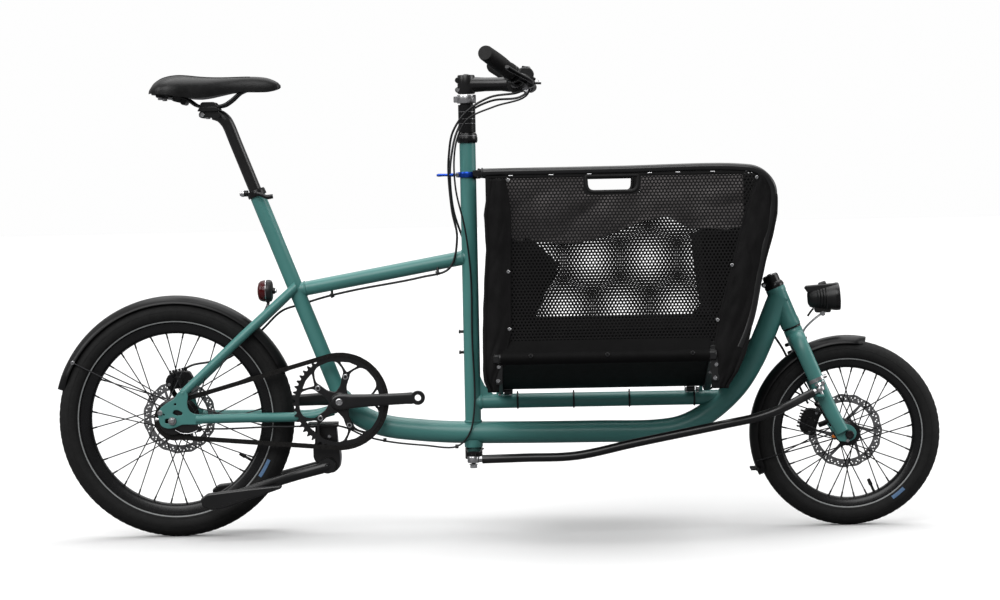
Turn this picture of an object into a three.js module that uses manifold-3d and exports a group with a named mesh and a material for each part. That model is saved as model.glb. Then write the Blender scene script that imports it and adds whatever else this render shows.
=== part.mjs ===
// Cargo bicycle: a short long-john with a folding basket between the handlebar column and the front wheel.
// Millimetres, +X forward, +Z up, rider's right side (with the chain) on -Y.
// Stations are measured forward from the rear axle; the outer group then moves the origin to mid-length.
import * as THREE from "three";
import { mergeVertices } from "three/addons/utils/BufferGeometryUtils.js";
import Module from "manifold-3d";

const wasm = await Module();
wasm.setup();

// ---- driving dimensions -------------------------------------------------------------------------
const GAP = 0.3; // between pieces that touch
const WHEELBASE = 1459.7;
const REAR = { radius: 258, bead: 203, rim: 186, width: 55 }; // 55-406 tyre
const FRONT = { radius: 201, bead: 152.5, rim: 141, width: 50 }; // 50-305 tyre
const MID_LENGTH = (WHEELBASE + FRONT.radius - REAR.radius) / 2; // station of the origin
const SPOKES_PER_SIDE = 8;
const ROTOR_RADIUS = 80;
const HEAD_ANGLE = 68; // degrees
const HEAD_BASE = [1344, 432]; // station and height of the lower headset bearing on the steering axis
const FORK_DROP = 257.5; // along the steering axis, lower bearing to axle
const FORK_OFFSET = 20.7; // axle ahead of the steering axis
const COLUMN_X = 648;
const COLUMN = { radius: 17.5, bore: 15.5, low: 184, high: 846 };
const STEERER_RADIUS = 14.2;
const BB = [362, 292]; // crank axis
const BB_RADIUS = 21;
const SEAT_DIRECTION = [-0.361, 0.9326]; // seat tube, from crank axis upwards
const SEAT_TUBE = { radius: 17, bore: 13.9, length: 480 };
const MAIN_TUBE_RADIUS = 24;
const CARGO_TUBE = { radius: 15.8, height: 283, front: 1175 };
const TOP_TUBE_RADIUS = 15.5;
const DROPOUT_Y = 67.5; // inner face of the rear dropouts
const CHAIN_Y = -48;
const CHAINRING_PITCH = 12.7 / (2 * Math.sin(Math.PI / 50)); // 50 teeth
const SPROCKET_PITCH = 12.7 / (2 * Math.sin(Math.PI / 18)); // 18 teeth
const CHAIN_HALF = 4.2; // half the height of a chain plate
const CRANK_LENGTH = 170;
const STAND_PIVOT = [331, 152];
const FLOOR_PIVOT = { y: 14, z: 308 }; // inner hinge of each basket floor half
const PANEL_HINGE = { y: 286, z: 392 }; // outer hinge, between floor half and side panel
const BASKET = { rear: 694, floorRear: 700, floorFront: 1160, top: 779 };
const ROD_REAR = [650, -82, 164]; // ball joint under the column
const ROD_FRONT = [1395, -88, 302]; // ball joint on the fork leg

// ---- finishes -----------------------------------------------------------------------------------
const finish = (color, roughness, metalness) => new THREE.MeshStandardMaterial({ color, roughness, metalness });
const PAINT = finish(0x3f8577, 0.42, 0.1);
const BLACK = finish(0x17181a, 0.45, 0.3);
const RUBBER = finish(0x141414, 0.85, 0);
const PLASTIC = finish(0x111214, 0.5, 0);
const STEEL = finish(0xb9bcc0, 0.32, 0.9);
const BLUE = finish(0x1f4fb8, 0.3, 0.7);
const FABRIC = finish(0x161616, 0.95, 0);
const LENS = finish(0x8d1418, 0.2, 0);

// ---- geometry helpers ---------------------------------------------------------------------------
const rad = THREE.MathUtils.degToRad;
const at = (x, y, z) => new THREE.Vector3(x, y, z);

function toSolid(geometry) {
  const bare = geometry.clone();
  bare.deleteAttribute("normal");
  bare.deleteAttribute("uv");
  const merged = mergeVertices(bare, 1e-4);
  return new wasm.Manifold(
    new wasm.Mesh({
      numProp: 3,
      vertProperties: new Float32Array(merged.attributes.position.array),
      triVerts: new Uint32Array(merged.index.array),
    }),
  );
}

function toGeometry(solid) {
  const mesh = solid.getMesh();
  const geometry = new THREE.BufferGeometry();
  geometry.setAttribute("position", new THREE.BufferAttribute(new Float32Array(mesh.vertProperties), 3));
  geometry.setIndex(new THREE.BufferAttribute(new Uint32Array(mesh.triVerts), 1));
  geometry.computeVertexNormals();
  return geometry;
}

const join = (...pieces) => toGeometry(pieces.map(toSolid).reduce((a, b) => a.add(b)));
const cut = (piece, ...tools) => toGeometry(tools.map(toSolid).reduce((a, b) => a.subtract(b), toSolid(piece)));

// A round bar from one point to another.
function bar(from, to, radius, sides = 12, endRadius = radius) {
  const axis = to.clone().sub(from);
  const geometry = new THREE.CylinderGeometry(endRadius, radius, axis.length(), sides);
  const turn = new THREE.Quaternion().setFromUnitVectors(at(0, 1, 0), axis.clone().normalize());
  geometry.applyQuaternion(turn);
  const middle = from.clone().add(to).multiplyScalar(0.5);
  return geometry.translate(middle.x, middle.y, middle.z);
}

// A round bar along Y, at station x and height z.
const pin = (x, z, y0, y1, radius, sides = 16) => bar(at(x, y0, z), at(x, y1, z), radius, sides);

function block(x0, x1, y0, y1, z0, z1) {
  const geometry = new THREE.BoxGeometry(x1 - x0, y1 - y0, z1 - z0);
  return geometry.translate((x0 + x1) / 2, (y0 + y1) / 2, (z0 + z1) / 2);
}

// A solid tube that follows points; a flattened section has a second radius.
function tube(points, radius, steps, sides = 12, secondRadius = radius) {
  const section = new THREE.Shape();
  for (let i = 0; i < sides; i++) {
    const a = (2 * Math.PI * i) / sides;
    const corner = [radius * Math.cos(a), secondRadius * Math.sin(a)];
    if (i === 0) section.moveTo(...corner);
    else section.lineTo(...corner);
  }
  const path = new THREE.CatmullRomCurve3(points, false, "centripetal");
  return new THREE.ExtrudeGeometry(section, { steps, extrudePath: path, bevelEnabled: false });
}

// Turns a piece into its mirror image on the other side of the bicycle.
function mirrorY(geometry) {
  geometry.scale(1, -1, 1);
  const corners = geometry.index.array;
  for (let i = 0; i < corners.length; i += 3) [corners[i + 1], corners[i + 2]] = [corners[i + 2], corners[i + 1]];
  geometry.computeVertexNormals();
  return geometry;
}

// An outline in X and Z, given thickness along Y.
function plate(shape, y0, y1, curveSegments = 12) {
  const geometry = new THREE.ExtrudeGeometry(shape, { depth: y1 - y0, bevelEnabled: false, curveSegments });
  return geometry.rotateX(Math.PI / 2).translate(0, y1, 0);
}

function outline(points) {
  return new THREE.Shape(points.map(([x, z]) => new THREE.Vector2(x, z)));
}

// Corners along an arc round the origin, from one angle in degrees to another.
function arc(radius, from, to, steps) {
  const closed = Math.abs(to - from) === 360;
  return Array.from({ length: closed ? steps : steps + 1 }, (_, i) => {
    const a = rad(from + ((to - from) * i) / steps);
    return new THREE.Vector2(radius * Math.cos(a), radius * Math.sin(a));
  });
}

// A ring round the Y axis from a closed profile of [radius, y] corners, in either order.
function ring(profile, sides) {
  const corners = profile.map(([r, y]) => new THREE.Vector2(r, y));
  if (THREE.ShapeUtils.area(corners) < 0) corners.reverse();
  return new THREE.LatheGeometry([...corners, corners[0].clone()], sides);
}

// A curved plate round an axle: a mudguard.
function guard(cx, cz, radius, thickness, fromDegrees, toDegrees, halfWidth) {
  const shape = new THREE.Shape();
  shape.absarc(cx, cz, radius + thickness, rad(fromDegrees), rad(toDegrees), false);
  shape.absarc(cx, cz, radius, rad(toDegrees), rad(fromDegrees), true);
  return plate(shape, -halfWidth, halfWidth, 8);
}

const bicycle = new THREE.Group();
bicycle.position.x = -MID_LENGTH;

function part(name, geometry, material, parent = bicycle) {
  const mesh = new THREE.Mesh(geometry, material);
  mesh.name = name;
  parent.add(mesh);
  return mesh;
}

// ---- frame --------------------------------------------------------------------------------------
const seatPoint = (t, y = 0) => at(BB[0] + SEAT_DIRECTION[0] * t, y, BB[1] + SEAT_DIRECTION[1] * t);
const headAxis = at(-Math.cos(rad(HEAD_ANGLE)), 0, Math.sin(rad(HEAD_ANGLE)));
const headPoint = (t) => at(HEAD_BASE[0], 0, HEAD_BASE[1]).addScaledVector(headAxis, t);
const columnBar = (radius, low, high) => bar(at(COLUMN_X, 0, low), at(COLUMN_X, 0, high), radius, 16);

const mainTubeLine = [
  [372, 282], [410, 252], [455, 234], [530, 223], [610, 217], [760, 214], [920, 213], [1050, 213],
  [1105, 222], [1160, 250], [1220, 303], [1258, 360], [1285, 418], [1308, 474], [1319, 500],
].map(([x, z]) => at(x, 0, z));
const mainTube = (radius) => tube(mainTubeLine, radius, 18, 10);
const headBar = (radius, low, high) => bar(headPoint(low), headPoint(high), radius, 16);
const seatBar = (radius, low, high) => bar(seatPoint(low), seatPoint(high), radius, 18);

part(
  "main_tube",
  cut(
    join(mainTube(MAIN_TUBE_RADIUS), headBar(21, 5, 93)),
    headBar(16.5, -40, 130),
    columnBar(COLUMN.radius + GAP, 100, 300),
    pin(BB[0], BB[1], -60, 60, BB_RADIUS + GAP, 24),
  ),
  PAINT,
);

const cargoTube = cut(
  bar(at(COLUMN_X, 0, CARGO_TUBE.height), at(CARGO_TUBE.front, 0, CARGO_TUBE.height), CARGO_TUBE.radius, 16),
  mainTube(MAIN_TUBE_RADIUS + GAP),
);
const gusset = plate(outline([[655, 340], [655, 285], [700, 285], [690, 302], [668, 328]]), -5, 5);
const pivotTabs = [[702, 712], [1136, 1146]].map(([x0, x1]) => block(x0, x1, -21, 21, 290, 315));
part(
  "column_tube",
  cut(
    join(columnBar(COLUMN.radius, COLUMN.low, COLUMN.high), cargoTube, gusset, ...pivotTabs),
    columnBar(COLUMN.bore, 100, 900),
  ),
  PAINT,
);
part(
  "seat_tube",
  cut(
    join(seatBar(SEAT_TUBE.radius, 5, SEAT_TUBE.length), pin(BB[0], BB[1], -34, 34, BB_RADIUS, 24)),
    seatBar(SEAT_TUBE.bore, 24, 600),
    pin(BB[0], BB[1], -40, 40, 12, 16),
  ),
  PAINT,
);
part(
  "top_tube",
  cut(
    tube([at(269, 0, 533), at(450, 0, 564.5), at(COLUMN_X, 0, 599)], TOP_TUBE_RADIUS, 2, 16),
    seatBar(SEAT_TUBE.radius + GAP, 100, 500),
    columnBar(COLUMN.radius + GAP, 400, 800),
  ),
  PAINT,
);

const seatStay = (side) => tube([at(262, side * 17, 536), at(150, side * 43, 434), at(24, side * 64, 318)], 9.5, 6, 10);
const stayBridge = bar(at(184, -36, 470), at(184, 36, 470), 6, 8);
part("seat_stays", cut(join(seatStay(1), seatStay(-1), stayBridge), seatBar(SEAT_TUBE.radius + GAP, 100, 500)), PAINT);

const dropoutOutline = [
  [-34, 258], [-32, 284], [-14, 298], [8, 314], [20, 302], [34, 300], [30, 288], [34, 272], [58, 265.5], [58, 246.5],
  [-8, 238], [-26, 244],
];
for (const [name, side] of [["left", 1], ["right", -1]]) {
  const inner = side > 0 ? DROPOUT_Y : -DROPOUT_Y - 6;
  const stay = tube(
    [at(46, side * 66, 256), at(180, side * 48, 255), at(245, side * 38, 254), at(300, side * 32, 256),
      at(342, side * 29, 268)],
    9.5, 10, 10,
  );
  const dropout = cut(plate(outline(dropoutOutline), inner, inner + 6), pin(0, REAR.radius, -90, 90, 5.2, 12));
  part(
    `chain_stay_${name}`,
    cut(join(stay, dropout), pin(BB[0], BB[1], -60, 60, BB_RADIUS + GAP, 24), seatBar(SEAT_TUBE.radius + GAP, 5, 60),
      seatStay(side)),
    PAINT,
  );
}

part("seat_collar", cut(seatBar(20.5, SEAT_TUBE.length + GAP, SEAT_TUBE.length + 14), seatBar(SEAT_TUBE.bore, 400, 600)),
  BLACK);

// ---- rear equipment on the frame ----------------------------------------------------------------
part("rear_axle", join(pin(0, REAR.radius, -84, 84, 4.8, 12), pin(0, REAR.radius, 73.8, 82, 9, 6),
  pin(0, REAR.radius, -82, -73.8, 9, 6)), STEEL);
part("rear_caliper", cut(block(-24, 26, 30, 54, 322, 358), block(-40, 40, 41.8, 46.2, 300, 347)), BLACK);
part("rear_fender", guard(0, REAR.radius, 264, 3, 22, 165, 27), BLACK);
part("rear_light", join(bar(at(172, 0, 533), at(216, 0, 533), 25, 20), bar(at(196, 0, 515), at(188, 0, 478), 4, 8)), LENS);

function beltOutline(offset, target) {
  const [dx, dz] = [BB[0], BB[1] - REAR.radius];
  const lean = Math.atan2(dz, dx);
  const wrap = Math.acos((SPROCKET_PITCH - CHAINRING_PITCH) / Math.hypot(dx, dz));
  target.absarc(BB[0], BB[1], CHAINRING_PITCH + offset, lean - wrap, lean + wrap, false);
  target.absarc(0, REAR.radius, SPROCKET_PITCH + offset, lean + wrap, lean - wrap + 2 * Math.PI, false);
  return target;
}
const chainShape = beltOutline(CHAIN_HALF, new THREE.Shape());
chainShape.holes.push(beltOutline(-CHAIN_HALF, new THREE.Path()));
part("chain", plate(chainShape, CHAIN_Y - 4, CHAIN_Y + 4, 11), BLACK);

const barrel = pin(...STAND_PIVOT, -26, 26, 18, 16);
part(
  "stand_bracket",
  cut(
    join(block(286, 352, -30, 30, 235, 242.5), block(314, 346, -16, 16, 160, 240), barrel),
    pin(...STAND_PIVOT, -60, 60, 8.4, 16),
  ),
  BLACK,
);

// ---- basket mounting on the column --------------------------------------------------------------
const columnBand = (radius, low, high) => columnBar(radius, low, high);
part("basket_crossbar", cut(join(tube([at(680, -272, 777), at(680, 0, 777), at(680, 272, 777)], 7, 4, 10),
  block(664, 680, -13, 13, 769, 785)), columnBand(22.2, 700, 850)), BLACK);
part("column_band", cut(join(columnBand(21.6, 771, 783), block(622, 640, -9, 9, 771, 783)),
  columnBand(COLUMN.radius + GAP, 700, 850)), BLUE);
part("column_band_lever", join(block(585, 618, -6, 6, 774, 780.5), bar(at(585, 0, 774), at(585, 0, 780.5), 6, 12)), BLUE);

// ---- handlebar column ---------------------------------------------------------------------------
const steererShaft = bar(at(COLUMN_X, 0, 158), at(COLUMN_X, 0, 950), STEERER_RADIUS, 20);
const spacers = bar(at(COLUMN_X, 0, 867.5), at(COLUMN_X, 0, 951.5), 18.5, 20);
const armPlate = join(block(633, 667, -90, 14, 175, 183), bar(at(COLUMN_X, 0, 158), at(COLUMN_X, 0, 183), 19, 16));
const rearStud = bar(at(ROD_REAR[0], ROD_REAR[1], 148), at(ROD_REAR[0], ROD_REAR[1], 178), 5, 10);
const rearNut = bar(at(ROD_REAR[0], ROD_REAR[1], 146), at(ROD_REAR[0], ROD_REAR[1], 152), 8, 6);
part("steerer", join(steererShaft, spacers, armPlate, rearStud, rearNut), BLACK);

const STEM_TOP = 994;
const CLAMP = [755, 972]; // handlebar centre
part(
  "stem",
  cut(
    join(
      bar(at(COLUMN_X, 0, 952), at(COLUMN_X, 0, STEM_TOP), 19, 20),
      bar(at(COLUMN_X, 0, 972), at(CLAMP[0], 0, CLAMP[1]), 15, 12),
      pin(...CLAMP, -23, 23, 20, 16),
    ),
    pin(...CLAMP, -40, 40, 12, 14),
    steererShaft,
  ),
  BLACK,
);

const mirrored = (points, side) => points.map(([x, y, z]) => at(x, side * y, z));
const barHalf = [[755, 0, 972], [755, 45, 972], [761, 90, 976], [757, 130, 983], [742, 170, 992], [719, 225, 1005],
  [693, 288, 1019]];
const barLine = [...mirrored(barHalf.slice(1), -1).reverse(), ...mirrored(barHalf, 1)];
part("handlebar", tube(barLine, 11.1, 16, 10), BLACK);
const gripLine = [[740, 175, 993], [719, 225, 1005], [691, 293, 1020]];
for (const [name, side] of [["left", 1], ["right", -1]]) {
  const [start, middle, end] = mirrored(gripLine, side);
  const outer = tube([start, middle, end], 16.5, 3, 12);
  const inner = tube([...mirrored([[748, 155, 988]], side), start, middle, ...mirrored([[692.4, 289.5, 1019.3]], side)],
    12.2, 6, 12);
  part(`grip_${name}`, cut(outer, inner), RUBBER);
  const [perchBar, cylinderEnd, reach] = mirrored([[751, 148, 988], [789, 140, 968], [783, 118, 966]], side);
  const perch = cut(
    join(bar(perchBar, cylinderEnd, 8, 10), tube(mirrored([[757, 134, 984], [744, 163, 991]], side), 17, 1, 14),
      bar(cylinderEnd, reach, 9, 10)),
    tube(barLine, 11.6, 16, 10),
  );
  part(`brake_master_${name}`, perch, BLACK);
  const blade = mirrored([[789, 153, 967], [782, 200, 974], [744, 280, 996]], side);
  part(`brake_lever_${name}`, tube(blade, 5, 5, 8), BLACK);
}
part("shifter_body", cut(join(tube(mirrored([[759, 112, 979], [759.5, 92, 976]], -1), 16, 1, 14),
  block(762, 796, -116, -88, 978, 1002)), tube(barLine, 11.6, 16, 10)), PLASTIC);
part("shifter_lever", block(776, 812, -112, -100, 966, 972), PLASTIC);

// ---- front fork, built on the steering axis -----------------------------------------------------
const head = new THREE.Group();
head.position.set(HEAD_BASE[0], 0, HEAD_BASE[1]);
head.rotation.y = -rad(90 - HEAD_ANGLE);
bicycle.add(head);
// The same place for pieces given by station and height.
const toHead = new THREE.Matrix4().compose(head.position, new THREE.Quaternion().setFromEuler(head.rotation),
  at(1, 1, 1)).invert();
const inHead = (x, y, z) => at(x, y, z).applyMatrix4(toHead);
const rodEnd = inHead(...ROD_FRONT);

const forkLegs = [1, -1].map((side) =>
  tube(mirrored([[0, 46, -14], [0, 56, -60], [2, 60, -150], [9, 61, -247]], side), 15.5, 5, 10, 9.5));
const forkTips = [1, -1].map((side) => plate(
  outline([[-6, -232], [20, -236], [34, -250], [33, -264], [20, -271], [-4, -264]]), side * 56 - 3, side * 56 + 3));
const rodArm = join(block(rodEnd.x - 9, rodEnd.x + 9, -97, -62, rodEnd.z - 17, rodEnd.z - 10),
  bar(at(rodEnd.x, rodEnd.y, rodEnd.z - 12), at(rodEnd.x, rodEnd.y, rodEnd.z + 14), 4, 12),
  bar(at(rodEnd.x, rodEnd.y, rodEnd.z + 9), at(rodEnd.x, rodEnd.y, rodEnd.z + 14), 7, 6));
part(
  "fork",
  cut(
    join(
      bar(at(0, 0, -20), at(0, 0, 93.5), STEERER_RADIUS, 20),
      bar(at(0, 0, 93.3), at(0, 0, 122), 17.5, 20),
      block(-30, 0, -8, 8, 98, 114),
      block(-15, 15, -57, 57, -36, -8),
      ...forkLegs, ...forkTips, rodArm,
    ),
    pin(FORK_OFFSET, -FORK_DROP, -90, 90, 5.2, 12),
  ),
  PAINT,
  head,
);
part("front_axle", join(pin(FORK_OFFSET, -FORK_DROP, -70, 70, 4.8, 12), pin(FORK_OFFSET, -FORK_DROP, 59.3, 68, 9, 12),
  pin(FORK_OFFSET, -FORK_DROP, -68, -59.3, 9, 12)), BLACK, head);
part("front_fender", guard(WHEELBASE, FRONT.radius, 206.5, 3, 78, 205, 25), BLACK);
part("front_caliper", cut(block(1364, 1400, 28, 52, 206, 258), block(1374, 1420, 36, 41, 190, 270)), BLACK);
part("headlight_bracket", tube([at(1374, 0, 411), at(1375, 0, 430), at(1389, 0, 443), at(1408, 0, 456)], 3, 6, 8), STEEL);
part("headlight", join(bar(at(1382, 0, 495), at(1448, 0, 495), 24, 20, 30), block(1405, 1417, -7, 7, 463, 480)), PLASTIC);

// ---- steering rod -------------------------------------------------------------------------------
const rodLine = [[663, -82, 164], [760, -86, 166], [870, -93, 169], [1000, -108, 196], [1180, -128, 232],
  [1262, -134, 249], [1312, -131, 266], [1362, -105, 288], [1386, -92, 298]].map((p) => at(...p));
const rearEye = ring([[7, -7], [13, -7], [13, 7], [7, 7]], 16).rotateX(Math.PI / 2).translate(...ROD_REAR);
const frontEye = ring([[6, -4.5], [11, -4.5], [11, 4.5], [6, 4.5]], 16).rotateX(Math.PI / 2)
  .rotateY(-rad(90 - HEAD_ANGLE)).translate(...ROD_FRONT);
const boreTool = bar(at(ROD_REAR[0], ROD_REAR[1], 140), at(ROD_REAR[0], ROD_REAR[1], 190), 7, 16);
const frontTool = bar(at(0, 0, -20), at(0, 0, 20), 6, 16).rotateY(-rad(90 - HEAD_ANGLE)).translate(...ROD_FRONT);
part("steering_rod", cut(join(tube(rodLine, 9.5, 11, 8), rearEye, frontEye), boreTool, frontTool), BLACK);

// ---- wheels -------------------------------------------------------------------------------------
function wheel(name, size, hub) {
  const group = new THREE.Group();
  group.position.set(hub.x, 0, size.radius);
  bicycle.add(group);
  const half = size.width / 2;
  const section = size.radius - half;
  const tyre = [[size.bead + 1.2, -12], [size.bead + 8, -13.5]];
  for (let i = 0; i <= 6; i++) {
    const a = rad(-130 + (260 * i) / 6);
    tyre.push([section + half * Math.cos(a) * 0.999, half * Math.sin(a)]);
  }
  tyre.push([size.bead + 8, 13.5], [size.bead + 1.2, 12]);
  part(`${name}_tyre`, ring(tyre, 26), RUBBER, group);
  const rim = [[size.rim, -8], [size.rim, 8], [size.rim + 6, 14], [size.bead + 7, 14.8], [size.bead + 0.9, 12.6],
    [size.bead + 0.9, -12.6], [size.bead + 7, -14.8], [size.rim + 6, -14]];
  part(`${name}_rim`, ring(rim, 26), BLACK, group);
  const spokes = [];
  for (const side of [1, -1]) {
    for (let i = 0; i < SPOKES_PER_SIDE; i++) {
      const hubAngle = (2 * Math.PI * (i + (side > 0 ? 0.25 : 0))) / SPOKES_PER_SIDE;
      const rimAngle = hubAngle + rad(hub.sweep);
      const reach = size.rim - 1.6;
      spokes.push(bar(
        at(hub.flange * 0.93 * Math.cos(hubAngle), side * hub.spread, hub.flange * 0.93 * Math.sin(hubAngle)),
        at(reach * Math.cos(rimAngle), side * 4, reach * Math.sin(rimAngle)), 1.2, 3));
    }
  }
  const w = hub.half;
  const f = hub.spread;
  const shell = ring([[5.3, -w], [hub.core * 0.6, -w], [hub.core, -f - 2], [hub.flange, -f - 2], [hub.flange, -f + 2],
    [hub.core, -f + 2], [hub.core, f - 2], [hub.flange, f - 2], [hub.flange, f + 2], [hub.core, f + 2],
    [hub.core * 0.6, w], [5.3, w]], 14);
  part(`${name}_hub`, join(shell, ...spokes), STEEL, group);
  const rotor = new THREE.Shape(arc(ROTOR_RADIUS, 0, 360, 28));
  rotor.holes.push(new THREE.Path(arc(5.6, 360, 0, 10)));
  for (let i = 0; i < 6; i++) {
    rotor.holes.push(new THREE.Path([...arc(62, 60 * i, 60 * i + 43, 4), ...arc(26, 60 * i + 43, 60 * i, 3)]));
  }
  part(`${name}_rotor`, plate(rotor, hub.rotorY - 0.9, hub.rotorY + 0.9), STEEL, group);
}
wheel("rear", REAR, { x: 0, core: 30, flange: 46, spread: 29, half: 41, sweep: 12, rotorY: 44 });
wheel("front", FRONT, { x: WHEELBASE, core: 15, flange: 27, spread: 27, half: 36, sweep: 12, rotorY: 38.5 });
part("rear_sprocket", ring([[5.4, -56], [15, -56], [15, -49.8], [SPROCKET_PITCH - 4.6, -49.5],
  [SPROCKET_PITCH - 4.6, -46.5], [15, -46.2], [15, -42], [5.4, -42]], 24).translate(0, 0, REAR.radius), STEEL);

// ---- cranks -------------------------------------------------------------------------------------
const crankTilt = rad(2);
const cranks = new THREE.Group();
cranks.position.set(BB[0], 0, BB[1]);
bicycle.add(cranks);
const crankTip = (length, side) => [side * length * Math.cos(crankTilt), side * length * Math.sin(crankTilt)];
const spiderArms = [];
const chainringShape = new THREE.Shape(arc(CHAINRING_PITCH - 4.7, 0, 360, 40));
chainringShape.holes.push(new THREE.Path(arc(49, 360, 0, 16)));
for (let i = 0; i < 5; i++) {
  const a = 2 + 72 * i;
  const tip = at(57 * Math.cos(rad(a)), -53.5, 57 * Math.sin(rad(a)));
  spiderArms.push(bar(at(0, -53.5, 0), tip, 5.5, 8, 4));
  chainringShape.holes.push(new THREE.Path([...arc(83, a + 8, a + 64, 4), ...arc(66, a + 62, a + 10, 4)]));
}
function crankArm(y0, y1, side) {
  const [tx, tz] = crankTip(CRANK_LENGTH, side);
  const slope = crankTilt + (side < 0 ? Math.PI : 0);
  const shape = new THREE.Shape();
  shape.absarc(0, 0, 17, slope + Math.PI / 2, slope + (3 * Math.PI) / 2, false);
  shape.absarc(tx, tz, 13, slope - Math.PI / 2, slope + Math.PI / 2, false);
  return cut(plate(shape, y0, y1, 4), pin(tx, tz, y0 - 5, y1 + 5, 6.5, 10));
}
part("crank_right", cut(join(crankArm(-70, -57, 1), pin(0, 0, -70, -50, 19, 16), ...spiderArms),
  pin(0, 0, -90, -30, 10.3, 16)), BLACK, cranks);
part("chainring", plate(chainringShape, -49.2, -46.2), BLACK, cranks);
part("crank_left", join(crankArm(56, 69, -1), pin(0, 0, 50, 69, 19, 16), pin(0, 0, -72, 60, 10, 12)), BLACK, cranks);

// ---- centre stand -------------------------------------------------------------------------------
const standLegs = [1, -1].flatMap((side) => [
  pin(...STAND_PIVOT, side > 0 ? 27 : -42, side > 0 ? 42 : -27, 17, 14),
  tube([at(331, side * 35, 150), at(262, side * 46, 127), at(140, side * 97, 90)], 8, 6, 10),
  plate(outline([[68, 101], [74, 84], [178, 60], [192, 64], [176, 84], [96, 106]]), side * 97 - 14, side * 97 + 14),
]);
part("stand_legs", join(pin(...STAND_PIVOT, -41, 41, 8, 16), ...standLegs), BLACK);

// ---- seat ---------------------------------------------------------------------------------------
const railSide = (side) => tube(
  [at(16, side * 20, 952), at(60, side * 21, 948), at(90, side * 22, 946), at(150, side * 22, 946),
    at(185, side * 14, 949), at(212, side * 7, 954)], 3.5, 7, 6);
part(
  "seatpost",
  join(seatBar(13.5, 330, 682), block(88, 128, -26, 26, 926, 952), railSide(1), railSide(-1),
    bar(at(17, -22, 952), at(17, 22, 952), 4, 8), bar(at(211, -9, 953.7), at(211, 9, 953.7), 4, 8)),
  STEEL,
);
const saddleShape = new THREE.Shape();
saddleShape.moveTo(-36, 0);
saddleShape.bezierCurveTo(-38, 40, -30, 74, 0, 76);
saddleShape.bezierCurveTo(60, 76, 80, 24, 150, 22);
saddleShape.bezierCurveTo(200, 20, 244, 22, 244, 0);
saddleShape.bezierCurveTo(244, -22, 200, -20, 150, -22);
saddleShape.bezierCurveTo(80, -24, 60, -76, 0, -76);
saddleShape.bezierCurveTo(-30, -74, -38, -40, -36, 0);
part("saddle", new THREE.ExtrudeGeometry(saddleShape, { depth: 26, bevelEnabled: false, curveSegments: 8 })
  .rotateY(rad(3)).translate(0, 0, 974), FABRIC);
part("seat_collar_lever", join(bar(seatPoint(487, -22.3), seatPoint(487, -30), 3.4, 10),
  bar(seatPoint(487, -27), seatPoint(475, -27).add(at(32, 0, 4)), 3.5, 8)), BLACK);

// ---- basket -------------------------------------------------------------------------------------
const frontEdge = [[1289, 713], [1262, 585], [1237, 463], [1214, 407]];
for (const [name, side] of [["near", -1], ["far", 1]]) {
  const y = side * PANEL_HINGE.y;
  const slope = Math.atan2(PANEL_HINGE.z - FLOOR_PIVOT.z, PANEL_HINGE.y - FLOOR_PIVOT.y);
  const length = Math.hypot(PANEL_HINGE.z - FLOOR_PIVOT.z, PANEL_HINGE.y - FLOOR_PIVOT.y);
  const floor = join(
    block(BASKET.floorRear, BASKET.floorFront, 10, length - 8, -2, 2),
    ...[716, 1112].flatMap((x) => [block(x, x + 20, 0, length, -12, 0), block(x, x + 20, -7, 12, -12, 4)]),
    bar(at(BASKET.floorRear, length, 0), at(1168, length, 0), 13, 14),
  ).rotateX(slope).translate(0, FLOOR_PIVOT.y, FLOOR_PIVOT.z);
  if (side < 0) mirrorY(floor);
  part(`basket_floor_${name}`, floor, BLACK);
  const skin = new THREE.Shape();
  skin.moveTo(BASKET.rear, PANEL_HINGE.z + 14);
  skin.lineTo(1214, PANEL_HINGE.z + 14);
  for (const [x, z] of frontEdge.slice(0, 3).reverse()) skin.lineTo(x, z);
  skin.quadraticCurveTo(1289, 770, 1235, BASKET.top);
  skin.lineTo(BASKET.rear, BASKET.top);
  const handle = new THREE.Path();
  handle.moveTo(902, 760);
  handle.bezierCurveTo(904, 742, 912, 734, 930, 734);
  handle.lineTo(982, 734);
  handle.bezierCurveTo(1000, 734, 1008, 742, 1010, 760);
  handle.lineTo(902, 760);
  skin.holes.push(handle);
  const rail = tube([at(690, y, 779), at(960, y, 779), at(1215, y, 779), at(1258, y, 771), at(1284, y, 745),
    ...frontEdge.map(([x, z]) => at(x, y, z))], 9, 14, 8);
  part(`basket_panel_${name}`, join(plate(skin, y - 1.5, y + 1.5, 8), rail), BLACK);
  const inner = side * 276;
  const [y0, y1] = side < 0 ? [inner, -GAP] : [GAP, inner];
  const rearWall = block(688.5, 692.5, y0, y1, 345, 768);
  const frontWall = plate(outline([[1197, 345], [1222, 390], [1246, 463], [1295, 705], [1291, 705], [1242, 464],
    [1218, 391], [1193, 345]]), y0, y1);
  const strip = side < 0 ? block(690, 1243, inner, inner + 3, 410, 460) : block(690, 1243, inner - 3, inner, 410, 460);
  part(`basket_fabric_${name}`, join(rearWall, frontWall, strip), FABRIC);
}

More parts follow.
